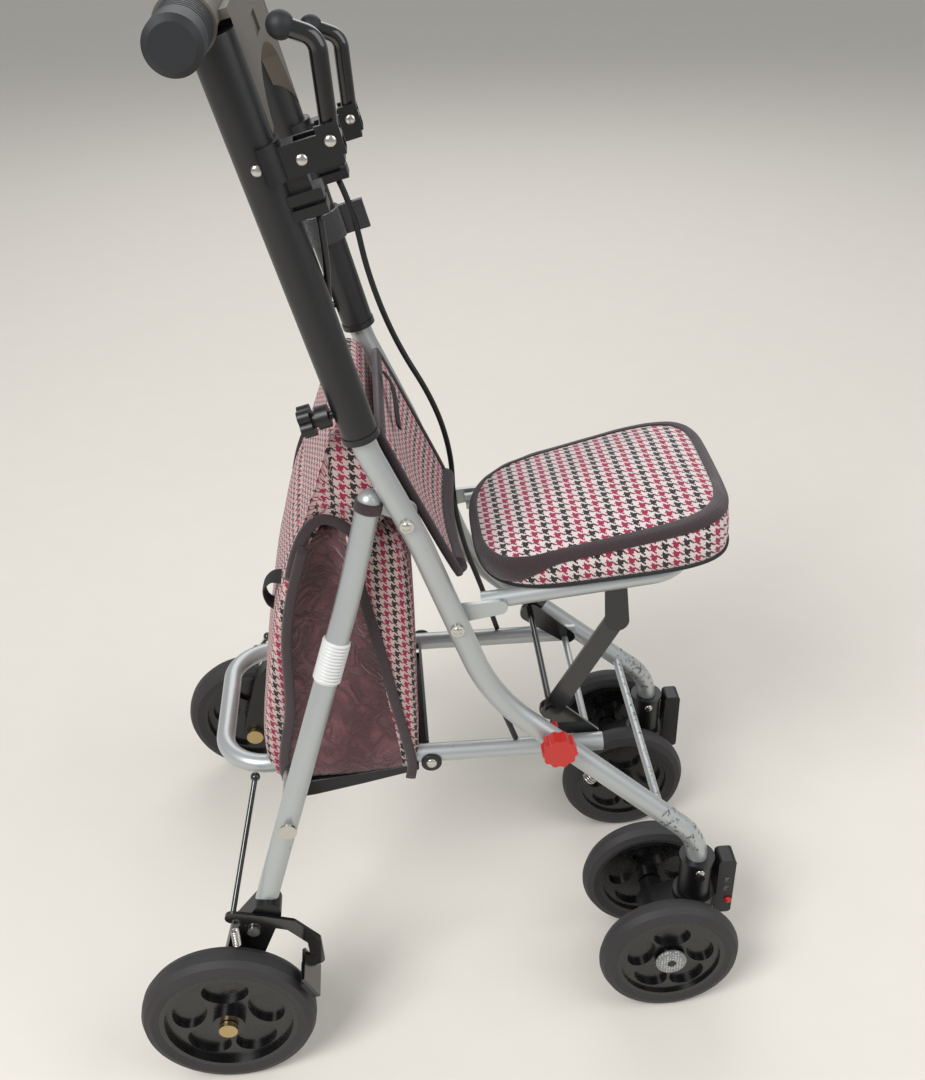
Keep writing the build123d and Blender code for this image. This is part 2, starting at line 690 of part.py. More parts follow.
def cable_points(side):
    """Route of a brake cable from its lever's clamp to where it enters the lower frame's tube."""
    x, z = column_point(clamp_along - clamp_shift(side) - 40.7, 24)
    start = (x, side * frame_half, z)
    if side > 0:
        middle = [(148, 103, 678), (156, 99, 626), (176, 94, 566), (208, 90, 508), (222, 89.5, 455),
                  (222, 85.5, 408), (232, 84, 356), (249, 82.5, 306)]
    else:
        middle = [(131.5, -99, 712), (129, -88, 676), (135, -84.5, 630), (148, -85.2, 580), (161, -85.5, 545),
                  (180, -85.6, 508), (196, -86, 462), (206, -85.5, 415), (226, -86, 360), (247, -84.5, 308)]
    end = (262, side * lower_half, frame_pivot[1] + lower_radius + 1.6)
    return [start] + middle + [end]


def corner_radii(points):
    """Arc radii that make each bend as large as its two runs allow."""
    radii = []
    for before, here, after in zip(points, points[1:], points[2:]):
        first = Vector(*here) - Vector(*before)
        second = Vector(*after) - Vector(*here)
        half = math.radians(first.get_angle(second)) / 2
        radii.append(0.45 * min(first.length, second.length) / math.tan(half))
    return radii


def brake_cable(side):
    points = cable_points(side)
    radii = corner_radii(points)
    print("cable", side, "radii", [round(value) for value in radii])
    path = FilletPolyline(*points, radius=radii)
    body = sweep(Plane(origin=path @ 0, z_dir=path % 0) * Circle(cable_radius), path)
    print("cable", side, "length", round(path.length), "volume ratio",
          round(body.volume / (math.pi * cable_radius ** 2 * path.length), 3))
    return body


def build():
    """All sub-parts by node name, in assembly coordinates."""
    nodes = {"front_cross_bar": front_cross_bar(), "frame_pivot_rod": frame_pivot_rod(),
             "lower_frame_tube": lower_frame_tube(), "lower_cross_bar": lower_cross_bar(),
             "link_bracket": link_bracket(), "bag_base_plate": bag_base_plate(),
             "seat_frame": seat_frame(), "seat_cushion": seat_cushion(),
             "backrest_cushion": backrest_cushion(), "bag_body": bag_body(),
             "handle_bar": handle_bar(), "handle_cover": handle_cover(),
             "cable_strap": cable_strap(), "lock_knob": lock_knob()}
    rivets = []
    for side, word in ((-1, "right"), (1, "left")):
        nodes["main_tube_" + word] = main_tube(side)
        nodes["caster_collar_" + word] = caster_collar(side)
        nodes["caster_fork_" + word] = caster_fork(side)
        nodes["caster_lock_" + word] = caster_lock(side)
        nodes["rear_leg_" + word] = rear_leg(side)
        nodes["leg_foot_" + word] = leg_foot(side)
        nodes["rear_axle_" + word] = rear_axle(side)
        nodes["brake_arm_" + word] = brake_arm(side)
        nodes["brake_pad_" + word] = brake_pad(side)
        nodes["seat_link_" + word] = seat_link(side)
        nodes["handle_sleeve_" + word] = handle_sleeve(side)
        nodes["grip_" + word] = grip(side)
        nodes["brake_clamp_" + word] = brake_clamp(side)
        nodes["brake_lever_" + word] = brake_lever(side)
        nodes["height_knob_" + word] = height_knob(side)
        nodes["brake_cable_" + word] = brake_cable(side)
        rivets += [hinge_bolt(leg_hinge, side), hinge_bolt(seat_hinge, side)]
        axle = (0, rear_wheel_radius)
        nodes["rear_tyre_" + word] = wheel_tyre(axle, side * rear_track_half, rear_wheel_radius,
                                                rear_rim_radius, rear_wheel_width)
        nodes["rear_hub_" + word] = wheel_hub(axle, side * rear_track_half, rear_rim_radius,
                                              rear_wheel_width, rear_axle_radius, 14.0)
        axle = (wheel_base, caster_wheel_radius)
        for place, word_2 in ((1, "outer"), (-1, "inner")):
            y = side * (caster_track_half + place * caster_twin_half)
            name = word + "_" + word_2
            nodes["caster_tyre_" + name] = wheel_tyre(axle, y, caster_wheel_radius, caster_rim_radius,
                                                      caster_wheel_width)
            nodes["caster_hub_" + name] = wheel_hub(axle, y, caster_rim_radius, caster_wheel_width,
                                                    caster_axle_radius, 11.0)
    nodes["hinge_bolts"] = Compound(children=rivets)
    nodes["arm_pins"] = Compound(children=[arm_pin(-1), arm_pin(1)])
    return nodes


def main():
    os.makedirs("parts", exist_ok=True)
    for name, shape in build().items():
        export_step(Pos(-origin_x, 0, 0) * shape, "parts/" + name + ".step")


if __name__ == "__main__":
    main()
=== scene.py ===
"""Looks of a folding walking cart with a padded seat, a backrest and a shopping bag.

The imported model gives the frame, wheels, handle and brakes. This script dresses those pieces
and adds the seat pad, the backrest, the bag, the brake cables and the small fittings. Lengths
in the classes are millimetres measured from the rear axle, and place() turns them to metres.
"""
import json
import logging
import math
from collections.abc import Sequence
from dataclasses import dataclass, field
from enum import Enum

import bmesh
import bpy
from mathutils import Matrix, Vector, noise


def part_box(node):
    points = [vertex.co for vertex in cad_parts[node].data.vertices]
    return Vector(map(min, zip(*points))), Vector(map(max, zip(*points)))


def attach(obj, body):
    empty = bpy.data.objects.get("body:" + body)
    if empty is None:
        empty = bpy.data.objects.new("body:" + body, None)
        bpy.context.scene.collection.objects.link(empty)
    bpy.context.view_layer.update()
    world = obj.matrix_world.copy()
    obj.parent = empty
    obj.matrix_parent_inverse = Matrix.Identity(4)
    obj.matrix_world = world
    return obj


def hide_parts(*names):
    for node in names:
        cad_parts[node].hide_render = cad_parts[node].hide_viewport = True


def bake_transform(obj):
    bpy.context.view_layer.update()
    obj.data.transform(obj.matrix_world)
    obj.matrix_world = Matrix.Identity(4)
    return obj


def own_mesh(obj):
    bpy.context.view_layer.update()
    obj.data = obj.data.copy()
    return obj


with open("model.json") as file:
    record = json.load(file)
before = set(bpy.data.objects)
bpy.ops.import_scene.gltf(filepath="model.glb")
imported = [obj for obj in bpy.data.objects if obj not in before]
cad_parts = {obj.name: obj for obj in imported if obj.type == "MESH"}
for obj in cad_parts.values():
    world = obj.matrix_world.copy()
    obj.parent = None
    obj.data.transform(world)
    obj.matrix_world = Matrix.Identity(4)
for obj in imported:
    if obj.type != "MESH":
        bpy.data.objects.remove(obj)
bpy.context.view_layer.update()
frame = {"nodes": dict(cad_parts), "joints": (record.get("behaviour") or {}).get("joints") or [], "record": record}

LOG = logging.getLogger("walking_cart")
SIDES = ((-1, "right"), (1, "left"))
AXLE_X = sum(corner[0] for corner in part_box("rear_axle_left")) / 2

# A turned profile: (distance from the axis, distance along it) in millimetres.
Profile = Sequence[tuple[float, float]]
# A level of the bag: height, rear x, rear binding x, front binding x, front x and gusset depth.
Level = tuple[float, float, float, float, float, float]
# A point of the bag's plan outline: x, y and 1 on nylon.
OutlinePoint = tuple[float, float, int]


def place(x: float, y: float, z: float) -> Vector:
    """Turns millimetres from the rear axle into a point of the shared frame.

    Args:
        x: distance in front of the rear axle.
        y: distance to the user's left.
        z: height above the floor.

    Returns:
        The point in metres.
    """
    return Vector((AXLE_X + x / 1000, y / 1000, z / 1000))


def joint_place(name: str) -> Vector:
    """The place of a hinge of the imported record, in metres."""
    joint = next(item for item in frame["joints"] if item["name"] == name)
    return Vector(joint["pos_m"])


def linear(hex_colour: str, share: float = 1.0) -> tuple[float, float, float, float]:
    """Turns an sRGB hex colour into the linear one that a shader takes.

    Args:
        hex_colour: six hex digits after a hash sign.
        share: how much of its light is kept, or more than 1 to brighten it.

    Returns:
        Linear red, green, blue and an alpha of 1.
    """
    parts = [int(hex_colour[i:i + 2], 16) / 255 for i in (1, 3, 5)]
    lit = [c / 12.92 if c <= 0.04045 else ((c + 0.055) / 1.055) ** 2.4 for c in parts]
    return (*(min(1.0, value * share) for value in lit), 1.0)


def add_node(tree: bpy.types.NodeTree, kind: str, inputs: dict | list | None = None,
             **settings: object) -> bpy.types.Node:
    """Adds a shader node with its settings, and its sockets' values or links.

    Args:
        tree: the material's node tree.
        kind: the node's type name without the ShaderNode prefix.
        inputs: a value, a node or an output socket for each socket, in the sockets' order or
            by name or index. A node stands for its first output.
        settings: node properties by name.

    Returns:
        The new node.
    """
    node = tree.nodes.new("ShaderNode" + kind)
    for key, value in settings.items():
        setattr(node, key, value)
    pairs = inputs.items() if isinstance(inputs, dict) else enumerate(inputs or [])
    for key, value in pairs:
        source = value.outputs[0] if isinstance(value, bpy.types.Node) else value
        if isinstance(source, bpy.types.NodeSocket):
            tree.links.new(source, node.inputs[key])
        else:
            node.inputs[key].default_value = source
    return node


# ------------------------------------------------------------------ finishes
@dataclass(frozen=True)
class Finish:
    """A plain finish: one colour with a fine grain in its surface and its roughness."""

    name: str
    colour: str
    roughness: float = 0.5
    metallic: float = 0.0
    coat: float = 0.0
    grain_mm: float = 0.8
    grain_depth_mm: float = 0.02
    colour_shift: float = 0.12
    sheen: float = 0.0
    unevenness: float = 0.07
    coat_roughness: float = 0.12
    cloud_mm: float = 55.56

    def material(self) -> bpy.types.Material:
        """Makes the finish's material.

        Returns:
            The material, named for the real one.
        """
        made = bpy.data.materials.new(self.name)
        made.use_nodes = True
        tree = made.node_tree
        tree.nodes.clear()
        shader = add_node(tree, "BsdfPrincipled", {
            "Base Color": linear(self.colour), "Roughness": self.roughness, "Metallic": self.metallic,
            "Coat Weight": self.coat, "Coat Roughness": self.coat_roughness,
            "Sheen Weight": self.sheen, **self.pattern(tree)})
        add_node(tree, "OutputMaterial", {"Surface": shader})
        return made

    def pattern(self, tree: bpy.types.NodeTree) -> dict[str, bpy.types.Node]:
        """Adds the finish's own pattern: here a soft colour change and a fine grain.

        Args:
            tree: the material's node tree.

        Returns:
            The nodes that drive the shader's inputs, by the inputs' names.
        """
        spot = add_node(tree, "TexCoord").outputs["Object"]
        cloud = add_node(tree, "TexNoise", {
            "Vector": spot, "Scale": 1000 / self.cloud_mm, "Detail": 4.0})
        grain = add_node(tree, "TexNoise", {
            "Vector": spot, "Scale": 1000 / self.grain_mm, "Detail": 3.0})
        return {
            "Base Color": add_node(tree, "MixRGB", [
                cloud, linear(self.colour, 1 - self.colour_shift),
                linear(self.colour, 1 + self.colour_shift)]),
            "Roughness": add_node(tree, "MapRange", {
                "Value": grain, "To Min": max(0.03, self.roughness - self.unevenness),
                "To Max": min(1.0, self.roughness + self.unevenness)}),
            "Normal": add_node(tree, "Bump", {"Height": grain, "Distance": self.grain_depth_mm / 1000})}


@dataclass(frozen=True)
class WornPaint(Finish):
    """Silver enamel over tube: smooth, with small dull chips where it has been knocked.

    The knocked place is (x from the rear axle, height) in metres, and its reach is in metres.
    """

    cloud_mm: float = 111.1
    chip_colour: str = "#6E6F6E"
    chip_mm: float = 5.0
    chip_depth_mm: float = 0.05
    patch_mm: float = 71.43
    flow_mm: float = 2.4
    knocked: tuple[float, float] = (0.412, 0.178)
    knocked_reach: float = 0.03
    bend_level: float = 0.56
    patch_level: float = 0.56
    speck_level: float = 0.68

    def pattern(self, tree: bpy.types.NodeTree) -> dict[str, bpy.types.Node]:
        """Adds flow in the paint, scattered chips and the worn patch at the front bends.

        Args:
            tree: the material's node tree.

        Returns:
            The nodes that drive the shader's inputs, by the inputs' names.
        """
        spot = add_node(tree, "TexCoord").outputs["Object"]
        flow = add_node(tree, "TexNoise", {
            "Vector": spot, "Scale": 1000 / self.flow_mm, "Detail": 2.0})
        patch = add_node(tree, "TexNoise", {
            "Vector": spot, "Scale": 1000 / self.patch_mm, "Detail": 2.0})
        speck = add_node(tree, "TexNoise", {
            "Vector": spot, "Scale": 1000 / self.chip_mm, "Detail": 6.0, "Roughness": 0.7})
        cloud = add_node(tree, "TexNoise", {
            "Vector": spot, "Scale": 1000 / self.cloud_mm, "Detail": 5.0})
        split = add_node(tree, "SeparateXYZ", [spot])
        away_x = add_node(tree, "Math", [split.outputs[0], AXLE_X + self.knocked[0]], operation="SUBTRACT")
        away_z = add_node(tree, "Math", [split.outputs[2], self.knocked[1]], operation="SUBTRACT")
        square_z = add_node(tree, "Math", [away_z, away_z], operation="MULTIPLY")
        square = add_node(tree, "Math", [away_x, away_x, square_z], operation="MULTIPLY_ADD")
        near = add_node(tree, "Math", [square, self.knocked_reach ** 2], operation="LESS_THAN")
        rubbed = add_node(tree, "Math", [speck, self.bend_level], operation="GREATER_THAN")
        bend = add_node(tree, "Math", [near, rubbed], operation="MULTIPLY")
        knocks = add_node(tree, "Math", [patch, self.patch_level], operation="GREATER_THAN")
        chips = add_node(tree, "Math", [speck, self.speck_level], operation="GREATER_THAN")
        rare = add_node(tree, "Math", [knocks, chips], operation="MULTIPLY")
        where = add_node(tree, "Math", [bend, rare], operation="MAXIMUM")
        paint = add_node(tree, "MixRGB", [cloud, linear(self.colour, 0.9), linear(self.colour)])
        rough = add_node(tree, "MapRange", {
            "Value": cloud, "To Min": self.roughness - 0.06, "To Max": self.roughness + 0.1})
        eased = add_node(tree, "Math", [flow, 0.25], operation="MULTIPLY")
        height = add_node(tree, "Math", [eased, where], operation="SUBTRACT")
        return {
            "Base Color": add_node(tree, "MixRGB", [where, paint, linear(self.chip_colour)]),
            "Roughness": add_node(tree, "Math", [where, 0.25, rough], operation="MULTIPLY_ADD"),
            "Normal": add_node(tree, "Bump", {"Height": height, "Distance": self.chip_depth_mm / 1000})}


@dataclass(frozen=True)
class DippedPaint(WornPaint):
    """Silver enamel on the seat's rail, with black enamel on the ears that hang under it."""

    black: str = "#141416"
    slope: float = math.tan(math.radians(6.5))
    rail_underside_m: float = -0.0072
    ears_start_m: float = 0.1

    def pattern(self, tree: bpy.types.NodeTree) -> dict[str, bpy.types.Node]:
        """Adds the silver paint, then the black below a sloping line in front of the hinge.

        Args:
            tree: the material's node tree.

        Returns:
            The nodes that drive the shader's inputs, by the inputs' names.
        """
        silver = super().pattern(tree)
        hinge = joint_place("seat_fold")
        spot = add_node(tree, "TexCoord").outputs["Object"]
        split = add_node(tree, "SeparateXYZ", [spot])
        ahead = add_node(tree, "Math", [split.outputs[0], hinge.x], operation="SUBTRACT")
        rise = add_node(tree, "Math", [split.outputs[2], hinge.z], operation="SUBTRACT")
        height = add_node(tree, "Math", [ahead, -self.slope, rise], operation="MULTIPLY_ADD")
        under = add_node(tree, "Math", [height, self.rail_underside_m], operation="LESS_THAN")
        front = add_node(tree, "Math", [ahead, self.ears_start_m], operation="GREATER_THAN")
        low = add_node(tree, "Math", [under, front], operation="MULTIPLY")
        bare = add_node(tree, "Math", [1.0, low], operation="SUBTRACT")
        return silver | {
            "Base Color": add_node(tree, "MixRGB", [low, silver["Base Color"], linear(self.black)]),
            "Metallic": add_node(tree, "Math", [bare, self.metallic], operation="MULTIPLY"),
            "Roughness": add_node(tree, "Math", [low, -0.1, silver["Roughness"]], operation="MULTIPLY_ADD")}


@dataclass(frozen=True)
class CheckCloth(Finish):
    """Woven check of pale ground with dark teeth, alternate columns black and crimson.

    The teeth come from the weave itself: four dark and four pale threads each way in a
    two-over-two twill. A thread is drawn 1.1 mm wide, so that a repeat is 9 mm.
    """

    cloud_mm: float = 45.45
    thread_mm: float = 1.12
    group: float = 4.0
    float_over: float = 2.0
    fibre_mm: float = 0.625
    relief_mm: float = 0.4
    black: str = "#211A1E"
    crimson: str = "#A01C48"

    def pattern(self, tree: bpy.types.NodeTree) -> dict[str, bpy.types.Node]:
        """Adds the weave's threads, their teeth and their rounded relief.

        Args:
            tree: the material's node tree.

        Returns:
            The nodes that drive the shader's inputs, by the inputs' names.
        """
        cloth = add_node(tree, "UVMap", uv_map="cloth")
        split = add_node(tree, "SeparateXYZ", [cloth])
        dark, floors, rounds, threads = [], [], [], []
        for axis in (0, 1):
            thread = add_node(tree, "Math", [split.outputs[axis], 1000 / self.thread_mm],
                              operation="MULTIPLY")
            turn = add_node(tree, "Math", [thread, 2 * self.group], operation="FLOORED_MODULO")
            dark.append(add_node(tree, "Math", [turn, self.group], operation="LESS_THAN"))
            floors.append(add_node(tree, "Math", [thread], operation="FLOOR"))
            rounds.append(add_node(tree, "Math", [thread, 0.5], operation="PINGPONG"))
            threads.append(thread)
        step = add_node(tree, "Math", floors, operation="ADD")
        turn = add_node(tree, "Math", [step, 2 * self.float_over], operation="FLOORED_MODULO")
        over = add_node(tree, "Math", [turn, self.float_over], operation="LESS_THAN")
        tooth = add_node(tree, "Mix", {"Factor": over, 2: dark[1], 3: dark[0]}, data_type="FLOAT")
        shifted = add_node(tree, "Math", [threads[0], self.group / 2], operation="ADD")
        column = add_node(tree, "Math", [shifted, 4 * self.group], operation="FLOORED_MODULO")
        red = add_node(tree, "Math", [column, 2 * self.group], operation="LESS_THAN")
        spot = add_node(tree, "TexCoord").outputs["Object"]
        cloud = add_node(tree, "TexNoise", {
            "Vector": spot, "Scale": 1000 / self.cloud_mm, "Detail": 4.0})
        fibre = add_node(tree, "TexNoise", {
            "Vector": spot, "Scale": 1000 / self.fibre_mm, "Detail": 2.0})
        ground = add_node(tree, "MixRGB", [cloud, linear(self.colour, 0.82), linear(self.colour)])
        teeth = add_node(tree, "MixRGB", [red, linear(self.black), linear(self.crimson)])
        woven = add_node(tree, "MixRGB", [tooth, ground, teeth])
        hair = add_node(tree, "Math", [fibre, 0.3], operation="MULTIPLY")
        relief = add_node(tree, "Mix", {"Factor": over, 2: rounds[1], 3: rounds[0]}, data_type="FLOAT")
        height = add_node(tree, "Math", [fibre, 0.4, relief], operation="MULTIPLY_ADD")
        return {
            "Base Color": add_node(tree, "MixRGB", [hair, woven, linear("#000000")]),
            "Normal": add_node(tree, "Bump", {"Height": height, "Distance": self.relief_mm / 1000})}


@dataclass(frozen=True)
class RibbedTape(Finish):
    """Dark twill binding tape: slanting ribs drawn 1.6 mm apart so that they show, with painted shade in their
    grooves.
    """

    rib_mm: float = 1.6
    rib_depth_mm: float = 0.9
    slant: float = 0.9

    def pattern(self, tree: bpy.types.NodeTree) -> dict[str, bpy.types.Node]:
        """Adds the slanting ribs along the tape's own length, with painted shade in their grooves.

        Args:
            tree: the material's node tree.

        Returns:
            The nodes that drive the shader's inputs, by the inputs' names.
        """
        cloth = add_node(tree, "UVMap", uv_map="cloth")
        split = add_node(tree, "SeparateXYZ", [cloth])
        slanted = add_node(tree, "Math", [split.outputs[1], self.slant, split.outputs[0]],
                           operation="MULTIPLY_ADD")
        run = add_node(tree, "Math", [slanted, 1000 / self.rib_mm], operation="MULTIPLY")
        rib = add_node(tree, "Math", [run, 0.5], operation="PINGPONG")
        # The colour follows each rib's height: dark in the groove, full on the top. This is painted shade between
        # the ribs.
        painted_rib_shade = add_node(tree, "Math", [rib, 2.0], operation="MULTIPLY")
        return {
            "Base Color": add_node(tree, "MixRGB", [painted_rib_shade, linear(self.colour, 0.35), linear(self.colour)]),
            "Normal": add_node(tree, "Bump", {"Height": rib, "Distance": self.rib_depth_mm / 1000})}


@dataclass(frozen=True)
class CreasedNylon(Finish):
    """Thin coated nylon: soft creases 20 to 40 mm long with painted shade in their hollows and a faint shine on
    their crests.
    """

    crease_mm: float = 26.0
    crease_depth_mm: float = 14.0
    pucker_mm: float = 3.846

    def pattern(self, tree: bpy.types.NodeTree) -> dict[str, bpy.types.Node]:
        """Adds large creases, small puckers and painted shade that darkens the creases' hollows.

        Args:
            tree: the material's node tree.

        Returns:
            The nodes that drive the shader's inputs, by the inputs' names.
        """
        spot = add_node(tree, "TexCoord").outputs["Object"]
        wide = add_node(tree, "TexNoise", {
            "Vector": spot, "Scale": 1000 / self.crease_mm, "Detail": 3.0, "Distortion": 1.4})
        small = add_node(tree, "TexNoise", {
            "Vector": spot, "Scale": 1000 / self.pucker_mm, "Detail": 3.0})
        centred = add_node(tree, "Math", [wide, 0.5], operation="SUBTRACT")
        fold = add_node(tree, "Math", [centred], operation="ABSOLUTE")
        # Along each crease's hollow the colour falls to 45 %: painted shade in the creases.
        share = add_node(tree, "Math", [fold, 5.0], operation="MULTIPLY", use_clamp=True)
        height = add_node(tree, "Math", [small, 0.08, fold], operation="MULTIPLY_ADD")
        return {
            "Base Color": add_node(tree, "MixRGB", [share, linear(self.colour, 0.45), linear(self.colour)]),
            "Normal": add_node(tree, "Bump", {
                "Height": height, "Distance": self.crease_depth_mm / 1000, "Strength": 0.8})}


@dataclass(frozen=True)
class DottedReflector(Finish):
    """Grey moulded reflector: round cells 2.4 mm apart under a clear face."""

    cell_mm: float = 2.4
    dot_reach: float = 0.42
    dot_depth_mm: float = 0.3

    def pattern(self, tree: bpy.types.NodeTree) -> dict[str, bpy.types.Node]:
        """Adds the round cells.

        Args:
            tree: the material's node tree.

        Returns:
            The nodes that drive the shader's inputs, by the inputs' names.
        """
        spot = add_node(tree, "TexCoord").outputs["Object"]
        cell = add_node(tree, "TexVoronoi", {
            "Vector": spot, "Scale": 1000 / self.cell_mm, "Randomness": 0.15})
        dot = add_node(tree, "Math", [cell, self.dot_reach], operation="LESS_THAN")
        return {
            "Base Color": add_node(tree, "MixRGB", [dot, linear(self.colour, 0.35), linear(self.colour)]),
            "Normal": add_node(tree, "Bump", {"Height": dot, "Distance": self.dot_depth_mm / 1000})}


class Look(Enum):
    """Every finish on the cart. A comment says what it gives the eye."""

    # Pale grey metallic enamel, sprayed: a soft sheen and knocked spots.
    SILVER_TUBE = WornPaint("silver enamel on aluminium tube", "#B4B8B8", 0.34, 0.55, 0.25)
    # Powder coat on the column sleeves: deep black, a fine orange peel and a broad highlight.
    BLACK_POWDER = Finish("black powder coat", "#101113", 0.42, 0.0, 0.12, 0.9, 0.1, 0.2)
    # Dipped enamel on flat steel: a mirror-like narrow highlight.
    BLACK_GLOSS_STEEL = Finish("gloss black enamel on steel", "#0B0B0C", 0.18, 0.0, 0.7, 3.0, 0.02, 0.15)
    # Moulded rubber: matte blue-black.
    GRIP_RUBBER = Finish("moulded rubber", "#17191C", 0.58, 0.0, 0.0, 0.7, 0.06, 0.25)
    # Moulded ABS with a fine matte grain, grey-brown.
    COVER_PLASTIC = Finish("moulded ABS", "#5E584F", 0.55, 0.0, 0.0, 0.8, 0.07, 0.1)
    # Moulded nylon of clamps, forks and feet: satin black.
    BLACK_PLASTIC = Finish("moulded nylon", "#0F0F11", 0.38, 0.0, 0.0, 0.8, 0.06, 0.2)
    # Moulded ABS of the hubs: brighter than the nylon.
    HUB_PLASTIC = Finish("gloss moulded ABS", "#0E0D0D", 0.27, 0.0, 0.3, 1.5, 0.03, 0.2)
    # Solid rubber: dusty dark grey and dull.
    TYRE_RUBBER = Finish("solid rubber tyre", "#2C2A2B", 0.62, 0.0, 0.0, 0.9, 0.08, 0.3)
    # Bright zinc on rivets, screws and springs.
    ZINC_STEEL = Finish("zinc plated steel", "#C9C6C0", 0.26, 1.0, 0.0, 1.2, 0.03, 0.08)
    # Yellow zinc on the axles: a brass tint.
    BRASS_BOLT = Finish("yellow zinc plated steel", "#BFA878", 0.3, 1.0, 0.0, 1.2, 0.03, 0.15)
    # Moulded ABS in one strong red with a soft shine.
    RED_PLASTIC = Finish("red moulded ABS", "#B5201A", 0.34, 0.0, 0.2, 1.0, 0.03, 0.15)
    # Woven check: off-white ground, black and crimson teeth, threads that stand up.
    CHECK_FABRIC = CheckCloth("woven check cloth", "#EFE0DD", 0.85, sheen=0.15)
    # Twill tape: aubergine with slanting ribs, their grooves darkened with painted shade.
    BROWN_BINDING = RibbedTape("twill binding tape", "#3B262C", 0.8, sheen=0.2)
    # Coated nylon: wine brown, thin and creased, with painted shade in the creases.
    BROWN_NYLON = CreasedNylon("coated nylon", "#6E3F44", 0.5, sheen=0.25)
    # Woven webbing: black with straight cross ribs, their grooves darkened with painted shade.
    BLACK_WEBBING = RibbedTape("polypropylene webbing", "#232325", 0.7, rib_mm=1.4, slant=0.0)
    # Moulded nylon, plain white and slightly glossy.
    WHITE_PLASTIC = Finish("white moulded nylon", "#D2D3D1", 0.4, 0.0, 0.1, 0.8, 0.03, 0.05)
    # Clear moulded cover over round cells: a bright dotted grey.
    REFLECTOR = DottedReflector("moulded reflector", "#B4B6B6", 0.2, 0.0, 0.6)
    # The same silver enamel, with ears dipped in black.
    DIPPED_TUBE = DippedPaint("silver and black enamel on steel", "#B4B8B8", 0.34, 0.55, 0.25)
    # The same cloth where it hangs: a darker, pinker ground, partly the cloth's own tone and partly painted shade,
    # and a slightly finer check.
    PINK_FABRIC = CheckCloth("woven check cloth on the bag with painted shade", "#DFC4BE", 0.88, sheen=0.15, thread_mm=1.04)
    # Fuzzy loop tape: black, dull and uneven.
    HOOK_AND_LOOP = Finish("hook and loop tape", "#1F1F22", 0.95, grain_mm=1.6, grain_depth_mm=0.9,
                           colour_shift=0.5, sheen=0.5)

    @property
    def slot(self) -> str:
        """The name of the record's slot that this finish belongs to.

        Returns:
            The slot's name.
        """
        variants = {"DIPPED_TUBE": "silver_tube", "PINK_FABRIC": "check_fabric",
                    "HOOK_AND_LOOP": "black_webbing"}
        return variants.get(self.name, self.name.lower())


class Wardrobe:
    """Makes each material once and puts it on pieces."""

    def __init__(self) -> None:
        """Starts with no material made."""
        self.made: dict[str, bpy.types.Material] = {}

    def material(self, look: Look) -> bpy.types.Material:
        """Gives the material of a finish, made on first use.

        Args:
            look: the finish.

        Returns:
            Its material.
        """
        if look.name not in self.made:
            self.made[look.name] = look.value.material()
        return self.made[look.name]

    def dress(self, piece: bpy.types.Object, *looks: Look) -> None:
        """Puts one or more finishes on a piece's material slots.

        Args:
            piece: the object to dress.
            looks: finishes in the order of the faces' material indices.
        """
        if piece.data.materials:
            piece.data.materials.clear()
        for look in looks:
            piece.data.materials.append(self.material(look))

    def fit(self, piece: bpy.types.Object, body: str, *looks: Look) -> None:
        """Dresses a piece, makes it ride on a body and logs how many faces it has.

        Args:
            piece: the finished piece.
            body: the body it rides on.
            looks: its finishes, the one of its slot first.
        """
        self.dress(piece, *looks)
        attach(piece, body)
        LOG.info("%s: %d faces", piece.name, len(piece.data.polygons))

    def dress_frame(self) -> None:
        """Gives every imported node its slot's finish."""
        for part in frame["record"]["subparts"]:
            node = frame["nodes"][part["node"]]
            special = {"seat_frame": Look.DIPPED_TUBE, "cable_strap": Look.HOOK_AND_LOOP}
            self.dress(node, special.get(part["node"], Look[part["material_slot"].upper()]))


# ------------------------------------------------------------------ mesh tools
def new_piece(name: str, bm: bmesh.types.BMesh, smooth: bool = True) -> bpy.types.Object:
    """Turns a bmesh into an object at the origin.

    Args:
        name: the piece's name.
        bm: the finished bmesh, in metres. It is freed.
        smooth: whether faces are shaded smooth.

    Returns:
        The new object.
    """
    bmesh.ops.remove_doubles(bm, verts=bm.verts, dist=1e-6)
    bmesh.ops.recalc_face_normals(bm, faces=bm.faces)
    mesh = bpy.data.meshes.new(name)
    for face in bm.faces:
        face.smooth = smooth
    bm.to_mesh(mesh)
    bm.free()
    piece = bpy.data.objects.new(name, mesh)
    bpy.context.scene.collection.objects.link(piece)
    return piece


def join_rings(bm: bmesh.types.BMesh, rings: list[list[bmesh.types.BMVert]], closed: bool = False) -> None:
    """Bridges each ring of vertices to the next one.

    Args:
        bm: the bmesh that holds the rings.
        rings: rings of the same number of vertices.
        closed: whether the last ring is joined to the first.
    """
    loops = [[edge for edge in {e for v in ring for e in v.link_edges}
              if edge.verts[0] in ring and edge.verts[1] in ring] for ring in rings]
    pairs = list(zip(loops, loops[1:]))
    if closed:
        pairs.append((loops[-1], loops[0]))
    for first, second in pairs:
        bmesh.ops.bridge_loops(bm, edges=first + second)


def ring_of(bm: bmesh.types.BMesh, points: list[Vector]) -> list[bmesh.types.BMVert]:
    """Adds a closed ring through the given points.

    Args:
        bm: the bmesh to add to.
        points: the ring's points, in metres.

    Returns:
        The ring's vertices in the same order.
    """
    made = bmesh.ops.create_circle(bm, segments=len(points), radius=1.0)["verts"]
    for vert, point in zip(made, points):
        vert.co = point
    return made


def close_ring(bm: bmesh.types.BMesh, ring: list[bmesh.types.BMVert]) -> None:
    """Fills a ring with one face."""
    bmesh.ops.contextual_create(bm, geom=ring)


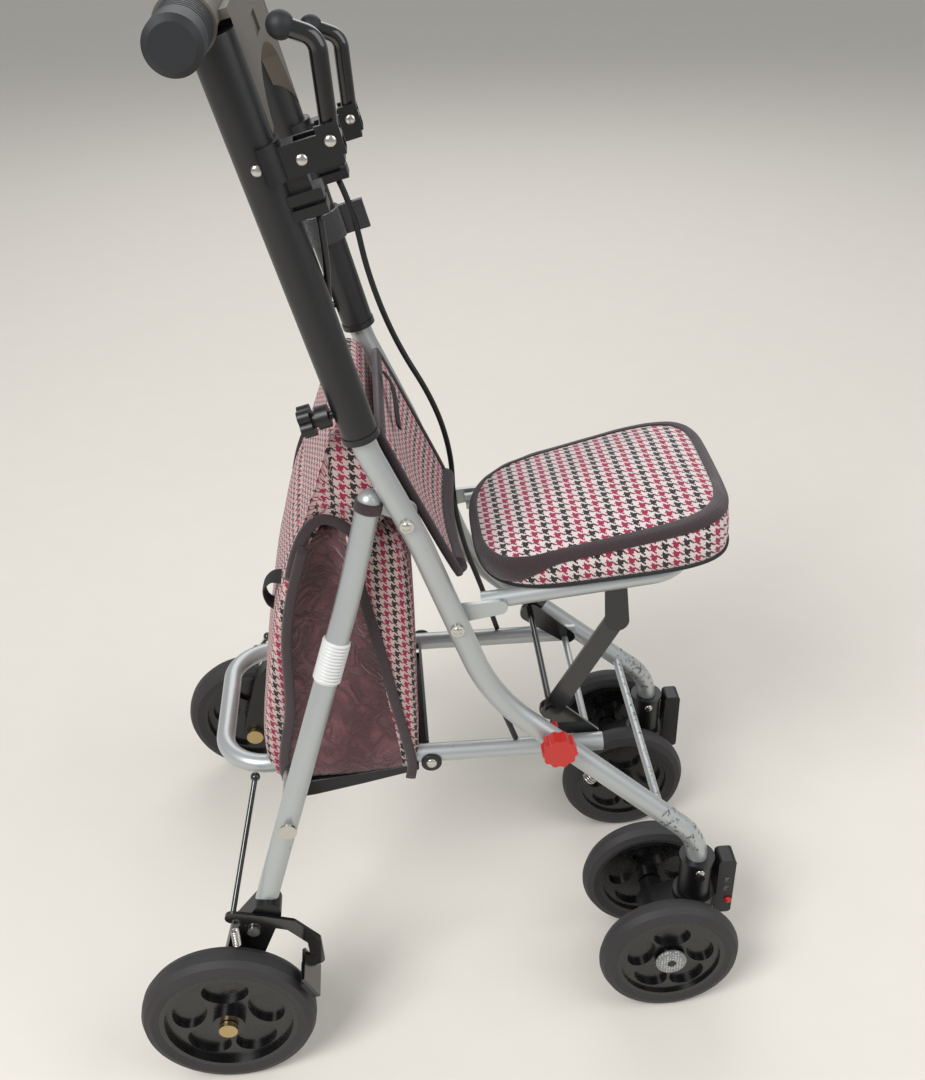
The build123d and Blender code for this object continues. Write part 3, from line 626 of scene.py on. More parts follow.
def smooth_line(points: list[Vector], count: int, closed: bool = False) -> list[Vector]:
    """Gives evenly taken points of the smooth line through the given ones.

    Args:
        points: the points to pass through.
        count: how many points to give per span.
        closed: whether the line runs back to its start.

    Returns:
        Points of a Catmull-Rom line.
    """
    total = len(points)
    spans = total if closed else total - 1
    line = []
    for index in range(spans):
        if closed:
            p = [points[(index + shift) % total] for shift in (-1, 0, 1, 2)]
        else:
            p = [points[min(max(index + shift, 0), total - 1)] for shift in (-1, 0, 1, 2)]
        for step in range(count):
            t = step / count
            line.append(0.5 * ((2 * p[1]) + (p[2] - p[0]) * t
                               + (2 * p[0] - 5 * p[1] + 4 * p[2] - p[3]) * t * t
                               + (3 * p[1] - p[0] - 3 * p[2] + p[3]) * t ** 3))
    if not closed:
        line.append(points[-1].copy())
    return line


def tape(name: str, line: list[Vector], facing: list[Vector], width_mm: float, thick_mm: float,
         closed: bool = False, around: int = 12, squareness: float = 0.6) -> bpy.types.Object:
    """Sweeps a flat rounded section along a line: a binding, a strap, a piping or a cord.

    Args:
        name: the piece's name.
        line: points in metres.
        facing: the direction that the flat side faces at each point.
        width_mm: the section's width.
        thick_mm: the section's thickness.
        closed: whether the line is a loop.
        around: vertices around the section.
        squareness: 1 for an ellipse, less for a squarer section.

    Returns:
        The tape as an object with a UV map in metres along and across it.
    """
    bm = bmesh.new()
    rings = []
    run = 0.0
    along: dict[bmesh.types.BMVert, tuple[float, float]] = {}
    total = len(line)
    for index, point in enumerate(line):
        before = line[index - 1] if index > 0 or closed else point
        after = line[(index + 1) % total] if index < total - 1 or closed else point
        ahead = (after - before).normalized()
        flat = (facing[index] - ahead * facing[index].dot(ahead)).normalized()
        across = ahead.cross(flat)
        if index:
            run += (point - line[index - 1]).length
        points = []
        for step in range(around):
            angle = 2 * math.pi * step / around
            c, s = math.cos(angle), math.sin(angle)
            wide = math.copysign(abs(c) ** squareness, c) * width_mm / 2000
            thin = math.copysign(abs(s) ** squareness, s) * thick_mm / 2000
            points.append(point + across * wide + flat * thin)
        ring = ring_of(bm, points)
        for step, vert in enumerate(ring):
            along[vert] = (run, math.cos(2 * math.pi * step / around) * width_mm / 2000)
        rings.append(ring)
    join_rings(bm, rings, closed)
    if not closed:
        close_ring(bm, rings[0])
        close_ring(bm, rings[-1])
    layer = bm.loops.layers.uv.new("cloth")
    for face in bm.faces:
        places = [along[loop.vert] for loop in face.loops]
        longest = max(spot[0] for spot in places)
        for loop, spot in zip(face.loops, places):
            back = closed and longest - spot[0] > run / 2
            loop[layer].uv = (spot[0] + (run if back else 0.0), spot[1])
    return new_piece(name, bm)


def lathe(bm: bmesh.types.BMesh, profile: Profile, centre: Vector, axis: Vector,
          steps: int = 32) -> None:
    """Spins a profile into a closed round solid.

    Args:
        bm: the bmesh to add to.
        profile: (distance from the axis, distance along it) in millimetres, both ends on the axis.
        centre: where the axis starts.
        axis: the axis' direction.
        steps: how many steps the full turn takes.
    """
    axis = axis.normalized()
    side = axis.orthogonal().normalized()
    verts = [bm.verts.new(centre + side * (r / 1000) + axis * (h / 1000)) for r, h in profile]
    edges = [bm.edges.new(pair) for pair in zip(verts, verts[1:])]
    bmesh.ops.spin(bm, geom=verts + edges, cent=centre, axis=axis, angle=2 * math.pi, steps=steps,
                   use_merge=True)
    bmesh.ops.remove_doubles(bm, verts=bm.verts, dist=1e-6)


def cloth_uv(bm: bmesh.types.BMesh, side_stretch: float = 1.0) -> None:
    """Gives each face a cloth map in metres, laid flat from the side that it faces most.

    Args:
        bm: the bmesh to map.
        side_stretch: how much closer the columns stand on faces that look sideways.
    """
    layer = bm.loops.layers.uv.new("cloth")
    bm.normal_update()
    for face in bm.faces:
        n = face.normal
        # Where a face looks half way, tops win over sides and sides over fronts.
        sizes = (abs(n.x) * 0.9, abs(n.y), abs(n.z) * 1.05)
        for loop in face.loops:
            co = loop.vert.co
            if sizes[2] == max(sizes):
                loop[layer].uv = (co.x, co.y)
            elif sizes[1] == max(sizes):
                loop[layer].uv = (co.x * side_stretch, co.z)
            else:
                loop[layer].uv = (co.y, co.z)


def soft_edges(piece: bpy.types.Object, width_mm: float, segments: int) -> None:
    """Rounds a piece's sharp edges.

    Args:
        piece: the piece.
        width_mm: how wide the rounding is.
        segments: how many steps it takes.
    """
    step = piece.modifiers.new("edges", "BEVEL")
    step.width = width_mm / 1000
    step.segments = segments
    step.limit_method = "ANGLE"


def subdivided(piece: bpy.types.Object, levels: int = 1) -> None:
    """Adds a subdivision surface whose view and render levels are the same.

    Args:
        piece: the piece to smooth.
        levels: how many times it is divided.
    """
    step = piece.modifiers.new("smooth", "SUBSURF")
    step.levels = levels
    step.render_levels = levels


# ------------------------------------------------------------------ camera, floor and light
@dataclass
class Studio:
    """The camera at eye height beside the cart, a pale floor and soft light."""

    eye: tuple[float, float, float] = (-0.0287, -0.9029, 1.001)
    turn: float = -0.0665
    dip: float = 0.5717
    roll: float = -0.022
    lens_mm: float = 41.56
    floor_colour: str = "#DAD5CC"
    sky_colour: str = "#F2F4F7"
    sky_strength: float = 0.46
    aim: tuple[float, float, float] = (0.0, 0.0, 0.35)

    def build(self) -> None:
        """Adds the camera, the floor and the lights."""
        self.camera()
        self.floor()
        self.lights()

    def camera(self) -> None:
        """Adds the camera from its turn, dip and roll."""
        ahead = Vector((-math.sin(self.turn) * math.cos(self.dip), math.cos(self.turn) * math.cos(self.dip),
                        -math.sin(self.dip)))
        right = Vector((math.cos(self.turn), math.sin(self.turn), 0.0))
        up = right.cross(ahead)
        right_2 = right * math.cos(self.roll) + up * math.sin(self.roll)
        up_2 = up * math.cos(self.roll) - right * math.sin(self.roll)
        data = bpy.data.cameras.new("camera")
        data.lens = self.lens_mm
        data.sensor_width = 36.0
        data.clip_start = 0.02
        camera = bpy.data.objects.new("camera", data)
        turned = Matrix((right_2, up_2, -ahead)).transposed().to_4x4()
        camera.matrix_world = Matrix.Translation(Vector(self.eye)) @ turned
        bpy.context.scene.collection.objects.link(camera)
        bpy.context.scene.camera = camera

    def floor(self) -> None:
        """Adds a large pale floor."""
        bm = bmesh.new()
        bmesh.ops.create_grid(bm, x_segments=1, y_segments=1, size=6.0)
        floor = new_piece("floor", bm)
        finish = Finish("painted floor", self.floor_colour, 0.8, grain_mm=6.0, grain_depth_mm=0.01,
                        colour_shift=0.02)
        floor.data.materials.append(finish.material())

    def lights(self) -> None:
        """Adds a key, a wide fill, a light from the far side and an even sky."""
        for name, where, size, power in (("key", (-1.4, -1.6, 2.4), 1.3, 72.0),
                                         ("fill", (1.9, -0.8, 1.9), 2.0, 26.0),
                                         ("back", (0.2, 2.2, 2.2), 2.2, 26.0)):
            data = bpy.data.lights.new(name, "AREA")
            data.size = size
            data.energy = power
            lamp = bpy.data.objects.new(name, data)
            spot = Vector(where)
            turned = (Vector(self.aim) - spot).to_track_quat("-Z", "Y").to_matrix().to_4x4()
            lamp.matrix_world = Matrix.Translation(spot) @ turned
            bpy.context.scene.collection.objects.link(lamp)
        world = bpy.data.worlds.new("sky")
        world.use_nodes = True
        back = world.node_tree.nodes["Background"]
        back.inputs["Color"].default_value = linear(self.sky_colour)
        back.inputs["Strength"].default_value = self.sky_strength
        bpy.context.scene.world = world
        bpy.context.scene.view_settings.view_transform = "Standard"


# ------------------------------------------------------------------ brake cables
@dataclass
class BrakeCables:
    """The two black cables from the lever clamps down to the lower frame."""

    radius_mm: float = 2.5
    lengths_m: tuple[float, float] = (0.498, 0.458)
    right_route: list[tuple[float, float, float]] = field(default_factory=lambda: [
        (129.0, -103.0, 743.3), (131.5, -99, 712), (129, -88, 676), (135, -84.5, 630), (148, -85.2, 580),
        (161, -85.5, 545), (180, -85.6, 508), (196, -86, 462), (206, -85.5, 415), (226, -86, 360),
        (247, -84.5, 308), (262, -80.5, 260.8)])
    left_route: list[tuple[float, float, float]] = field(default_factory=lambda: [
        (137.3, 103.0, 704.6), (148, 103, 678), (156, 99, 626), (176, 94, 566), (208, 90, 508),
        (222, 89.5, 455), (222, 85.5, 408), (232, 84, 356), (249, 82.5, 306), (262, 80.5, 260.8)])

    def curve(self, name: str, route: list[Vector], thick: bool) -> bpy.types.Object:
        """Makes the smooth curve that a cable follows.

        Args:
            name: the object's name.
            route: the route's points.
            thick: whether the curve has the cable's thickness.

        Returns:
            The curve object.
        """
        data = bpy.data.curves.new(name, "CURVE")
        data.dimensions = "3D"
        data.resolution_u = 10
        if thick:
            data.bevel_depth = self.radius_mm / 1000
            data.bevel_resolution = 5
            data.use_fill_caps = True
        spline = data.splines.new("NURBS")
        spline.points.add(len(route) - 1)
        for point, spot in zip(spline.points, route):
            point.co = (*spot, 1.0)
        spline.order_u = 3
        spline.use_endpoint_u = True
        made = bpy.data.objects.new(name, data)
        bpy.context.scene.collection.objects.link(made)
        return made

    def build(self, wardrobe: Wardrobe) -> None:
        """Args:
            wardrobe: where the finishes come from.
        """
        for (side, word), route, length in zip(SIDES, (self.right_route, self.left_route), self.lengths_m):
            points = [place(*spot) for spot in route]
            thin = self.curve("line_" + word, points, False)
            thick = self.curve("tube_" + word, points, True)
            bpy.context.view_layer.update()
            line = bpy.data.meshes.new_from_object(thin)
            path = [tuple(vert.co) for vert in line.vertices]
            mesh = bpy.data.meshes.new_from_object(thick)
            bpy.data.objects.remove(thin)
            bpy.data.objects.remove(thick)
            bm = bmesh.new()
            bm.from_mesh(mesh)
            cable = new_piece("cable_" + word, bm)
            wardrobe.dress(cable, Look.BLACK_PLASTIC)
            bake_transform(cable)
            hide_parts("brake_cable_" + word)
            run = sum((Vector(b) - Vector(a)).length for a, b in zip(path, path[1:]))
            LOG.info("cable_%s: %.3f m long", word, run)


# ------------------------------------------------------------------ seat
@dataclass
class SeatPad:
    """A wedge-shaped pad on a board: check cloth with a ribbed tape round its top edge.

    A row of the pad's surface is (inset from the edge, share of the edge's height, lift), in
    millimetres but for the share. At the rear the tape drops and covers the low side.
    """

    rear: float = 236.0
    front: float = 445.0
    rear_half: float = 86.0
    front_half: float = 94.0
    board: float = 415.4
    rear_height: float = 17.0
    front_height: float = 44.0
    crown: float = 6.5
    crown_insets: tuple[float, ...] = (17.0, 24.0, 34.0, 46.0, 60.0, 74.0, 83.0)
    slope_deg: float = 6.5
    around: int = 120
    tape_drop: float = 62.0
    side_rows: tuple[tuple[float, float, float], ...] = (
        (3.0, 0.0, 0.3), (0.8, 0.0, 1.4), (-0.6, 0.3, 0.0), (-1.0, 0.6, 0.0), (-0.2, 0.82, 0.0),
        (1.2, 0.94, 0.0), (3.8, 1.0, 0.0), (8.0, 1.0, 1.0), (13.5, 1.0, 2.0))
    tape_rows: int = 9
    tape_span: tuple[float, float] = (4.3, 7.45)
    rear_tape_span: tuple[float, float] = (1.3, 6.6)
    tape_rise: float = 1.4
    tape_sink: float = 0.8
    tape_row_m: float = 0.0016
    pucker_mm: float = 0.7
    top_pucker_mm: float = 1.6
    pucker_length: float = 15.0

    def tilt(self) -> Matrix:
        """The turn about the seat's hinge that gives it its slope."""
        hinge = joint_place("seat_fold")
        return (Matrix.Translation(hinge) @ Matrix.Rotation(-math.radians(self.slope_deg), 4, "Y")
                @ Matrix.Translation(-hinge))

    def outline(self, inset: float, step: int) -> tuple[float, float]:
        """A point of the pad's plan outline, in millimetres.

        Args:
            inset: how far inside the edge it lies.
            step: the point's number round the outline.

        Returns:
            Its x and y.
        """
        angle = 2 * math.pi * step / self.around
        c, s = math.cos(angle), math.sin(angle)
        power = 2 / (4.0 + 0.6 * c)
        length = (self.front - self.rear) / 2 - inset
        x = (self.front + self.rear) / 2 + math.copysign(abs(c) ** power, c) * length
        share = (x - self.rear) / (self.front - self.rear)
        half = self.rear_half + (self.front_half - self.rear_half) * share
        return x, math.copysign(abs(s) ** power, s) * (half - inset)

    def edge_height(self, x: float) -> float:
        """Height of the pad's top edge above the board at an x."""
        share = min(1.0, max(0.0, (x - self.rear) / (self.front - self.rear)))
        return self.rear_height + (self.front_height - self.rear_height) * share ** 0.8

    def surface(self, row: tuple[float, float, float], step: int, out: float = 0.0) -> Vector:
        """A point of a row at a step round the pad, before the pad is tilted.

        Args:
            row: inset, share of the edge's height and lift.
            step: the point's number round the outline.
            out: millimetres outside the row, along its inset's direction and upwards.

        Returns:
            The point in metres.
        """
        inset, share, lift = row
        side = 1.0 - min(1.0, max(0.0, (inset - 0.5) / 4.0))
        x, y = self.outline(inset - out * side, step)
        size = self.pucker_mm if inset < 20 else self.top_pucker_mm
        pucker = noise.noise(Vector((x, y, inset)) / self.pucker_length) * size
        return place(x, y, self.board + share * self.edge_height(x) + lift + out * (1 - side) + pucker)

    def pad(self) -> bpy.types.Object:
        """Builds the closed pad with its crowned top and slightly full sides.

        Returns:
            The pad, tilted to the seat's slope.
        """
        bm = bmesh.new()
        rows = list(self.side_rows)
        rim, _, lift = self.side_rows[-1]
        for inset in self.crown_insets:
            full = 1 - (1 - (inset - rim) / (self.crown_insets[-1] - rim)) ** 2
            rows.append((inset, 1.0, lift + self.crown * full))
        rings = [ring_of(bm, [self.surface(row, step) for step in range(self.around)]) for row in rows]
        join_rings(bm, rings)
        close_ring(bm, rings[0])
        close_ring(bm, rings[-1])
        cloth_uv(bm)
        bmesh.ops.transform(bm, matrix=self.tilt(), verts=bm.verts)
        return new_piece("seat_pad", bm)

    def tape_row(self, index: int, step: int) -> tuple[float, float, float]:
        """The tape's row at a step: low on the side at the rear, over the rim elsewhere.

        Args:
            index: the row's number across the tape.
            step: the point's number round the outline.

        Returns:
            A row between two of the pad's own side rows.
        """
        x, _ = self.outline(0.0, step)
        turn = min(1.0, max(0.0, (x - self.rear - 12.0) / self.tape_drop))
        turn = turn * turn * (3 - 2 * turn)
        low = self.rear_tape_span[0] + (self.tape_span[0] - self.rear_tape_span[0]) * turn
        high = self.rear_tape_span[1] + (self.tape_span[1] - self.rear_tape_span[1]) * turn
        where = low + (high - low) * index / (self.tape_rows - 1)
        first = min(int(where), len(self.side_rows) - 2)
        rest = where - first
        return tuple(one + (two - one) * rest
                     for one, two in zip(self.side_rows[first], self.side_rows[first + 1]))

    def edge_tape(self) -> bpy.types.Object:
        """Builds the ribbed tape as a thin closed band that lies on the pad's own surface.

        Returns:
            The tape, with a UV map in metres along and across it.
        """
        bm = bmesh.new()
        count = self.tape_rows
        rings: list[list[bmesh.types.BMVert]] = []
        across: dict[bmesh.types.BMVert, tuple[int, float]] = {}
        plan = [(0, -self.tape_sink)] + [(index, self.tape_rise) for index in range(count)]
        plan += [(count - 1, -self.tape_sink), (count // 2, -self.tape_sink)]
        for index, out in plan:
            ring = ring_of(bm, [self.surface(self.tape_row(index, step), step, out)
                                for step in range(self.around)])
            for step, vert in enumerate(ring):
                across[vert] = (step, index * self.tape_row_m)
            rings.append(ring)
        join_rings(bm, rings, closed=True)
        run = [0.0]
        line = rings[3]
        for first, second in zip(line, line[1:] + line[:1]):
            run.append(run[-1] + (second.co - first.co).length)
        layer = bm.loops.layers.uv.new("cloth")
        for face in bm.faces:
            last = max(across[loop.vert][0] for loop in face.loops)
            for loop in face.loops:
                step, wide = across[loop.vert]
                step = self.around if step == 0 and last == self.around - 1 else step
                loop[layer].uv = (run[step], wide)
        bmesh.ops.transform(bm, matrix=self.tilt(), verts=bm.verts)
        return new_piece("seat_tape", bm)

    def piping(self) -> bpy.types.Object:
        """Builds the black piping where the pad meets its board.

        Returns:
            The piping.
        """
        turn = self.tilt()
        line, facing = [], []
        for step in range(self.around):
            x, y = self.outline(1.2, step)
            x_2, y_2 = self.outline(0.2, step)
            line.append(turn @ place(x, y, self.board + 1.4))
            facing.append(Vector((x_2 - x, y_2 - y, 0.6)).normalized())
        return tape("seat_piping", line, facing, 3.8, 3.8, closed=True, around=10, squareness=1.0)

    def build(self, wardrobe: Wardrobe) -> None:
        """Adds the pad, its tape and its piping.

        Args:
            wardrobe: where the finishes come from.
        """
        pad = self.pad()
        subdivided(pad)
        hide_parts("seat_cushion")
        edge = self.edge_tape()
        subdivided(edge)
        for piece, look in ((pad, Look.CHECK_FABRIC), (edge, Look.BROWN_BINDING),
                            (self.piping(), Look.BLACK_WEBBING)):
            wardrobe.fit(piece, "seat", look)


# ------------------------------------------------------------------ backrest
@dataclass
class Backrest:
    """A thin padded panel between the columns, bound with tape along its sides and top."""

    low: tuple[float, float] = (215.5, 438.5)
    high: tuple[float, float] = (159.5, 563.5)
    half: float = 80.0
    thick: float = 9.0
    hollow: float = 9.0
    across: int = 20
    up: int = 16
    cloth_height_m: float = 0.13
    fold_keep: float = 0.3
    rear_anchor: tuple[float, float, float] = (98.0, 0.0, 505.0)

    def ahead(self) -> Vector:
        """The direction that the panel's front faces."""
        return Vector((self.high[1] - self.low[1], 0.0, self.low[0] - self.high[0])).normalized()

    def spot(self, across: float, up: float, depth: float) -> Vector:
        """A point of the panel.

        Args:
            across: from -1 at the right edge to 1 at the left edge.
            up: from 0 at the bottom to 1 at the top.
            depth: millimetres in front of the panel's middle.

        Returns:
            The point in metres.
        """
        x = self.low[0] + (self.high[0] - self.low[0]) * up
        z = self.low[1] + (self.high[1] - self.low[1]) * up
        bend = -self.hollow * (1 - across * across) * math.sin(math.pi * min(1.0, up * 0.8 + 0.2))
        narrow = 1.0 - 0.05 * (2 * up - 1) ** 4
        point = place(x, across * self.half * narrow, z)
        return point + self.ahead() * ((bend + depth) / 1000)

    def panel(self) -> bpy.types.Object:
        """Builds the padded panel as a grid with a thickness that thins at its edges.

        Returns:
            The panel.
        """
        bm = bmesh.new()
        bmesh.ops.create_grid(bm, x_segments=self.across, y_segments=self.up, size=1.0)
        for vert in bm.verts:
            vert.co = Vector((vert.co.x, (vert.co.y + 1) / 2, 0.0))
        made = bmesh.ops.extrude_face_region(bm, geom=list(bm.faces) + list(bm.edges) + list(bm.verts))
        top = [item for item in made["geom"] if isinstance(item, bmesh.types.BMVert)]
        lifted = set(top)
        layer = bm.loops.layers.uv.new("cloth")
        for face in bm.faces:
            for loop in face.loops:
                co = loop.vert.co
                loop[layer].uv = (co.y * self.cloth_height_m, co.x * self.half / 1000)
        for vert in bm.verts:
            a, u = vert.co.x, vert.co.y
            fade = min(1.0, 4 * (1 - abs(a))) ** 0.5 * min(1.0, 5 * min(u, 1 - u) + 0.15) ** 0.5
            depth = self.thick / 2 * (0.25 + 0.75 * fade)
            vert.co = self.spot(a, u, depth if vert in lifted else -depth)
        return new_piece("backrest_panel", bm)

    def build(self, wardrobe: Wardrobe) -> None:
        """Adds the panel, its binding, its pull strap and the roll along its bottom.

        Args:
            wardrobe: where the finishes come from.
        """
        panel = self.panel()
        subdivided(panel)
        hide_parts("backrest_cushion")
        ahead = self.ahead()
        line = [self.spot(-1.0, step / 20, 0.0) for step in range(21)]
        line += [self.spot(-1.0 + step / 12, 1.0, 0.0) for step in range(1, 25)]
        line += [self.spot(1.0, 1 - step / 20, 0.0) for step in range(1, 21)]
        line += [self.spot(1.0 - step / 12, 0.0, 0.0) for step in range(1, 24)]
        edge = tape("backrest_binding", line, [ahead] * len(line), 9.0, 7.0, closed=True, squareness=0.7)
        strap_line = smooth_line([self.spot(0.34, 1.0, 7.0), self.spot(0.2, 0.985, 10.5),
                                  self.spot(0.03, 0.93, 11.5), self.spot(-0.32, 0.83, 9.0)], 8)
        strap = tape("backrest_strap", strap_line, [ahead] * len(strap_line), 9.0, 2.0)
        roll_line = smooth_line([self.spot(across * 0.96, 0.02, 3.0)
                                 for across in (-1.0, -0.6, -0.2, 0.2, 0.6, 1.0)], 6)
        roll = tape("backrest_roll", roll_line, [ahead] * len(roll_line), 15.0, 12.0, squareness=0.9)
        for piece, look in ((panel, Look.PINK_FABRIC), (edge, Look.BROWN_BINDING),
                            (strap, Look.BLACK_WEBBING), (roll, Look.BROWN_BINDING)):
            wardrobe.fit(piece, "main_frame", look)
            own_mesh(piece)


# ------------------------------------------------------------------ bag
@dataclass
class Bag:
    """A shopping bag: check cloth front and rear panels, nylon side gussets and a top hood.

    The hood is its side outline in (x, z), drawn at each (y, size) of half_hood and its mirror.
    """

    half: float = 90.0
    around: int = 72
    hem_height: float = 270.0
    wave_length: float = 34.0
    nylon_wave: float = 3.0
    cloth_wave: float = 1.6
    side_stretch: float = 1.3
    binding_width: float = 9.0
    fold_keep: float = 0.35
    rear_anchor: tuple[float, float, float] = (66.0, 0.0, 400.0)
    levels: list[Level] = field(default_factory=lambda: [
        # z, rear x, rear binding x, front binding x, front x, gusset depth
        (232.0, 55.0, 62.0, 168.0, 172.0, -1.0),
        (246.0, 47.0, 60.0, 170.0, 175.5, -1.2),
        (262.0, 43.5, 60.0, 168.5, 176.5, -0.6),
        (285.0, 44.5, 64.0, 164.5, 177.0, 5.0),
        (315.0, 48.5, 70.0, 159.0, 177.5, 14.0),
        (350.0, 54.5, 72.0, 153.0, 178.0, 18.0),
        (390.0, 62.0, 74.0, 146.0, 178.0, 20.0),
        (425.0, 70.0, 80.0, 139.0, 177.5, 21.0),
        (455.0, 79.0, 88.0, 134.0, 176.0, 20.0),
        (478.0, 87.0, 95.0, 131.0, 171.0, 16.0),
        (494.0, 97.0, 103.0, 129.0, 162.0, 8.0)])
    hood: list[tuple[float, float]] = field(default_factory=lambda: [
        (81.0, 449.0), (90.0, 480.0), (100.0, 508.0), (110.0, 535.0), (119.0, 562.0), (128.0, 573.0),
        (140.0, 574.0), (148.0, 565.0), (153.0, 548.0), (159.0, 522.0), (160.0, 500.0), (148.0, 492.0),
        (133.0, 488.0), (120.0, 498.0), (109.0, 500.0), (98.0, 488.0), (90.0, 466.0)])
    half_hood: tuple[tuple[float, float], ...] = (
        (83.0, 0.86), (85.5, 0.94), (86.5, 1.0), (84.0, 1.0), (60.0, 1.0), (20.0, 1.0))
    board: tuple[tuple[float, float], ...] = (
        (56.0, 233.0), (60.0, 216.0), (84.0, 219.0), (130.0, 229.0), (176.0, 240.0), (176.0, 247.0),
        (120.0, 240.0))
    arch: tuple[tuple[float, float], ...] = (
        (82.0, 448.0), (88.0, 470.0), (97.0, 490.0), (109.0, 501.0), (121.0, 499.0), (133.0, 489.0))
    pull_loop: tuple[tuple[float, float, float], ...] = (
        (78.0, -72.0, 440.0), (66.0, -66.0, 437.0), (58.0, -60.0, 424.0), (60.0, -56.0, 408.0),
        (70.0, -54.0, 400.0))

    def side_points(self, level: Level) -> list[OutlinePoint]:
        """Half of a level's plan outline, from the rear middle to the front middle.

        Args:
            level: the level.

        Returns:
            The points, with y as the distance from the middle.
        """
        _, rear, rear_seam, front_seam, front, depth = level
        count = self.around // 2
        back_count, wrap, gusset = 8, 3, 14
        points: list[OutlinePoint] = []
        for step in range(back_count):
            share = step / back_count
            points.append((rear - 2.5 * (1 - share * share), share * (self.half - 5.0), 0))
        for step in range(wrap):
            share = step / wrap
            points.append((rear + 2.0 + (rear_seam - rear - 2.0) * share, self.half - 2.0 * (1 - share), 0))
        for step in range(gusset):
            share = step / gusset
            dip = math.sin(math.pi * share) ** 0.7 * depth
            points.append((rear_seam + (front_seam - rear_seam) * share, self.half - dip, 1))
        for step in range(wrap):
            share = step / wrap
            points.append((front_seam + (front - 2.0 - front_seam) * share, self.half - 2.0 * share, 0))
        rest = count - len(points)
        for step in range(rest):
            share = step / rest
            points.append((front + 1.5 * math.sin(math.pi * share / 2), (1 - share) * (self.half - 4.0), 0))
        return points

    def ring_points(self, level: Level) -> list[OutlinePoint]:
        """A level's whole plan outline, right side first.

        Args:
            level: the level.

        Returns:
            The closed outline's points.
        """
        near = self.side_points(level)
        front_middle = (level[4] + 1.5, 0.0, 0)
        return [(x, -y, kind) for x, y, kind in near] + [front_middle] + near[:0:-1]

    def shell(self) -> bpy.types.Object:
        """Builds the lofted shell with its hollow gussets and a rounded bottom.

        Returns:
            The shell, with cloth as its first finish and nylon as its second.
        """
        bm = bmesh.new()
        rings = []
        nylon: set[bmesh.types.BMVert] = set()
        for level in self.levels:
            outline = self.ring_points(level)
            ring = ring_of(bm, [place(x, y, level[0]) for x, y, _ in outline])
            nylon.update(vert for vert, (_, _, kind) in zip(ring, outline) if kind)
            for vert, (x, y, kind) in zip(ring, outline):
                wave = self.nylon_wave if kind else self.cloth_wave
                sag = noise.noise(Vector((x, y, level[0])) / self.wave_length) * wave
                sag = sag if level[0] > self.hem_height else 0.0
                vert.co.y -= math.copysign(abs(sag), y) / 1000 if abs(y) > 40 else 0.0
                vert.co.x += sag / 1000 if abs(y) < 80 else 0.0
            rings.append(ring)
        join_rings(bm, rings)
        close_ring(bm, rings[0])
        close_ring(bm, rings[-1])
        cloth_uv(bm, self.side_stretch)
        for face in bm.faces:
            on_nylon = sum(vert in nylon for vert in face.verts) >= 3
            face.material_index = 1 if on_nylon and len(face.verts) == 4 else 0
        return new_piece("bag_shell", bm)

    def hood_piece(self) -> bpy.types.Object:
        """Builds the hood over the bag's mouth from its side outline.

        Returns:
            The hood.
        """
        bm = bmesh.new()
        outline = smooth_line([Vector((x, 0.0, z)) for x, z in self.hood], 4, closed=True)
        middle = sum((p for p in outline), Vector()) / len(outline)
        rings = []
        for y, size in [(-y, size) for y, size in self.half_hood] + list(reversed(self.half_hood)):
            points = [middle + (p - middle) * size for p in outline]
            rings.append(ring_of(bm, [place(p.x, y, p.z) for p in points]))
        join_rings(bm, rings)
        close_ring(bm, rings[0])
        close_ring(bm, rings[-1])
        cloth_uv(bm)
        return new_piece("bag_hood", bm)

    def seam(self, index: int, side: int) -> list[Vector]:
        """The line of a side seam up the bag.

        Args:
            index: which column of the levels holds its x.
            side: -1 for the right side, 1 for the left.

        Returns:
            The seam's points, a little outside the shell.
        """
        points = [place(level[index], side * (self.half + 0.6), level[0]) for level in self.levels[:-1]]
        return smooth_line(points, 3)

    def base(self) -> bpy.types.Object:
        """Builds the black wedge-shaped base board that the bag's bottom is sewn round.

        Returns:
            The board.
        """
        bm = bmesh.new()
        rings = [ring_of(bm, [place(x, y, z) for x, z in self.board])
                 for y in (-self.half - 0.6, -self.half / 3, self.half / 3, self.half + 0.6)]
        join_rings(bm, rings)
        close_ring(bm, rings[0])
        close_ring(bm, rings[-1])
        board = new_piece("bag_base_board", bm, smooth=False)
        soft_edges(board, 1.2, 3)
        return board

    def ride(self, piece: bpy.types.Object, wardrobe: Wardrobe, *looks: Look) -> None:
        """Dresses a piece of the bag, makes it ride on the main frame and gives it a mesh of its own.

        Args:
            piece: the piece.
            wardrobe: where the finishes come from.
            looks: its finishes, the main one first.
        """
        wardrobe.fit(piece, "main_frame", *looks)
        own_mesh(piece)

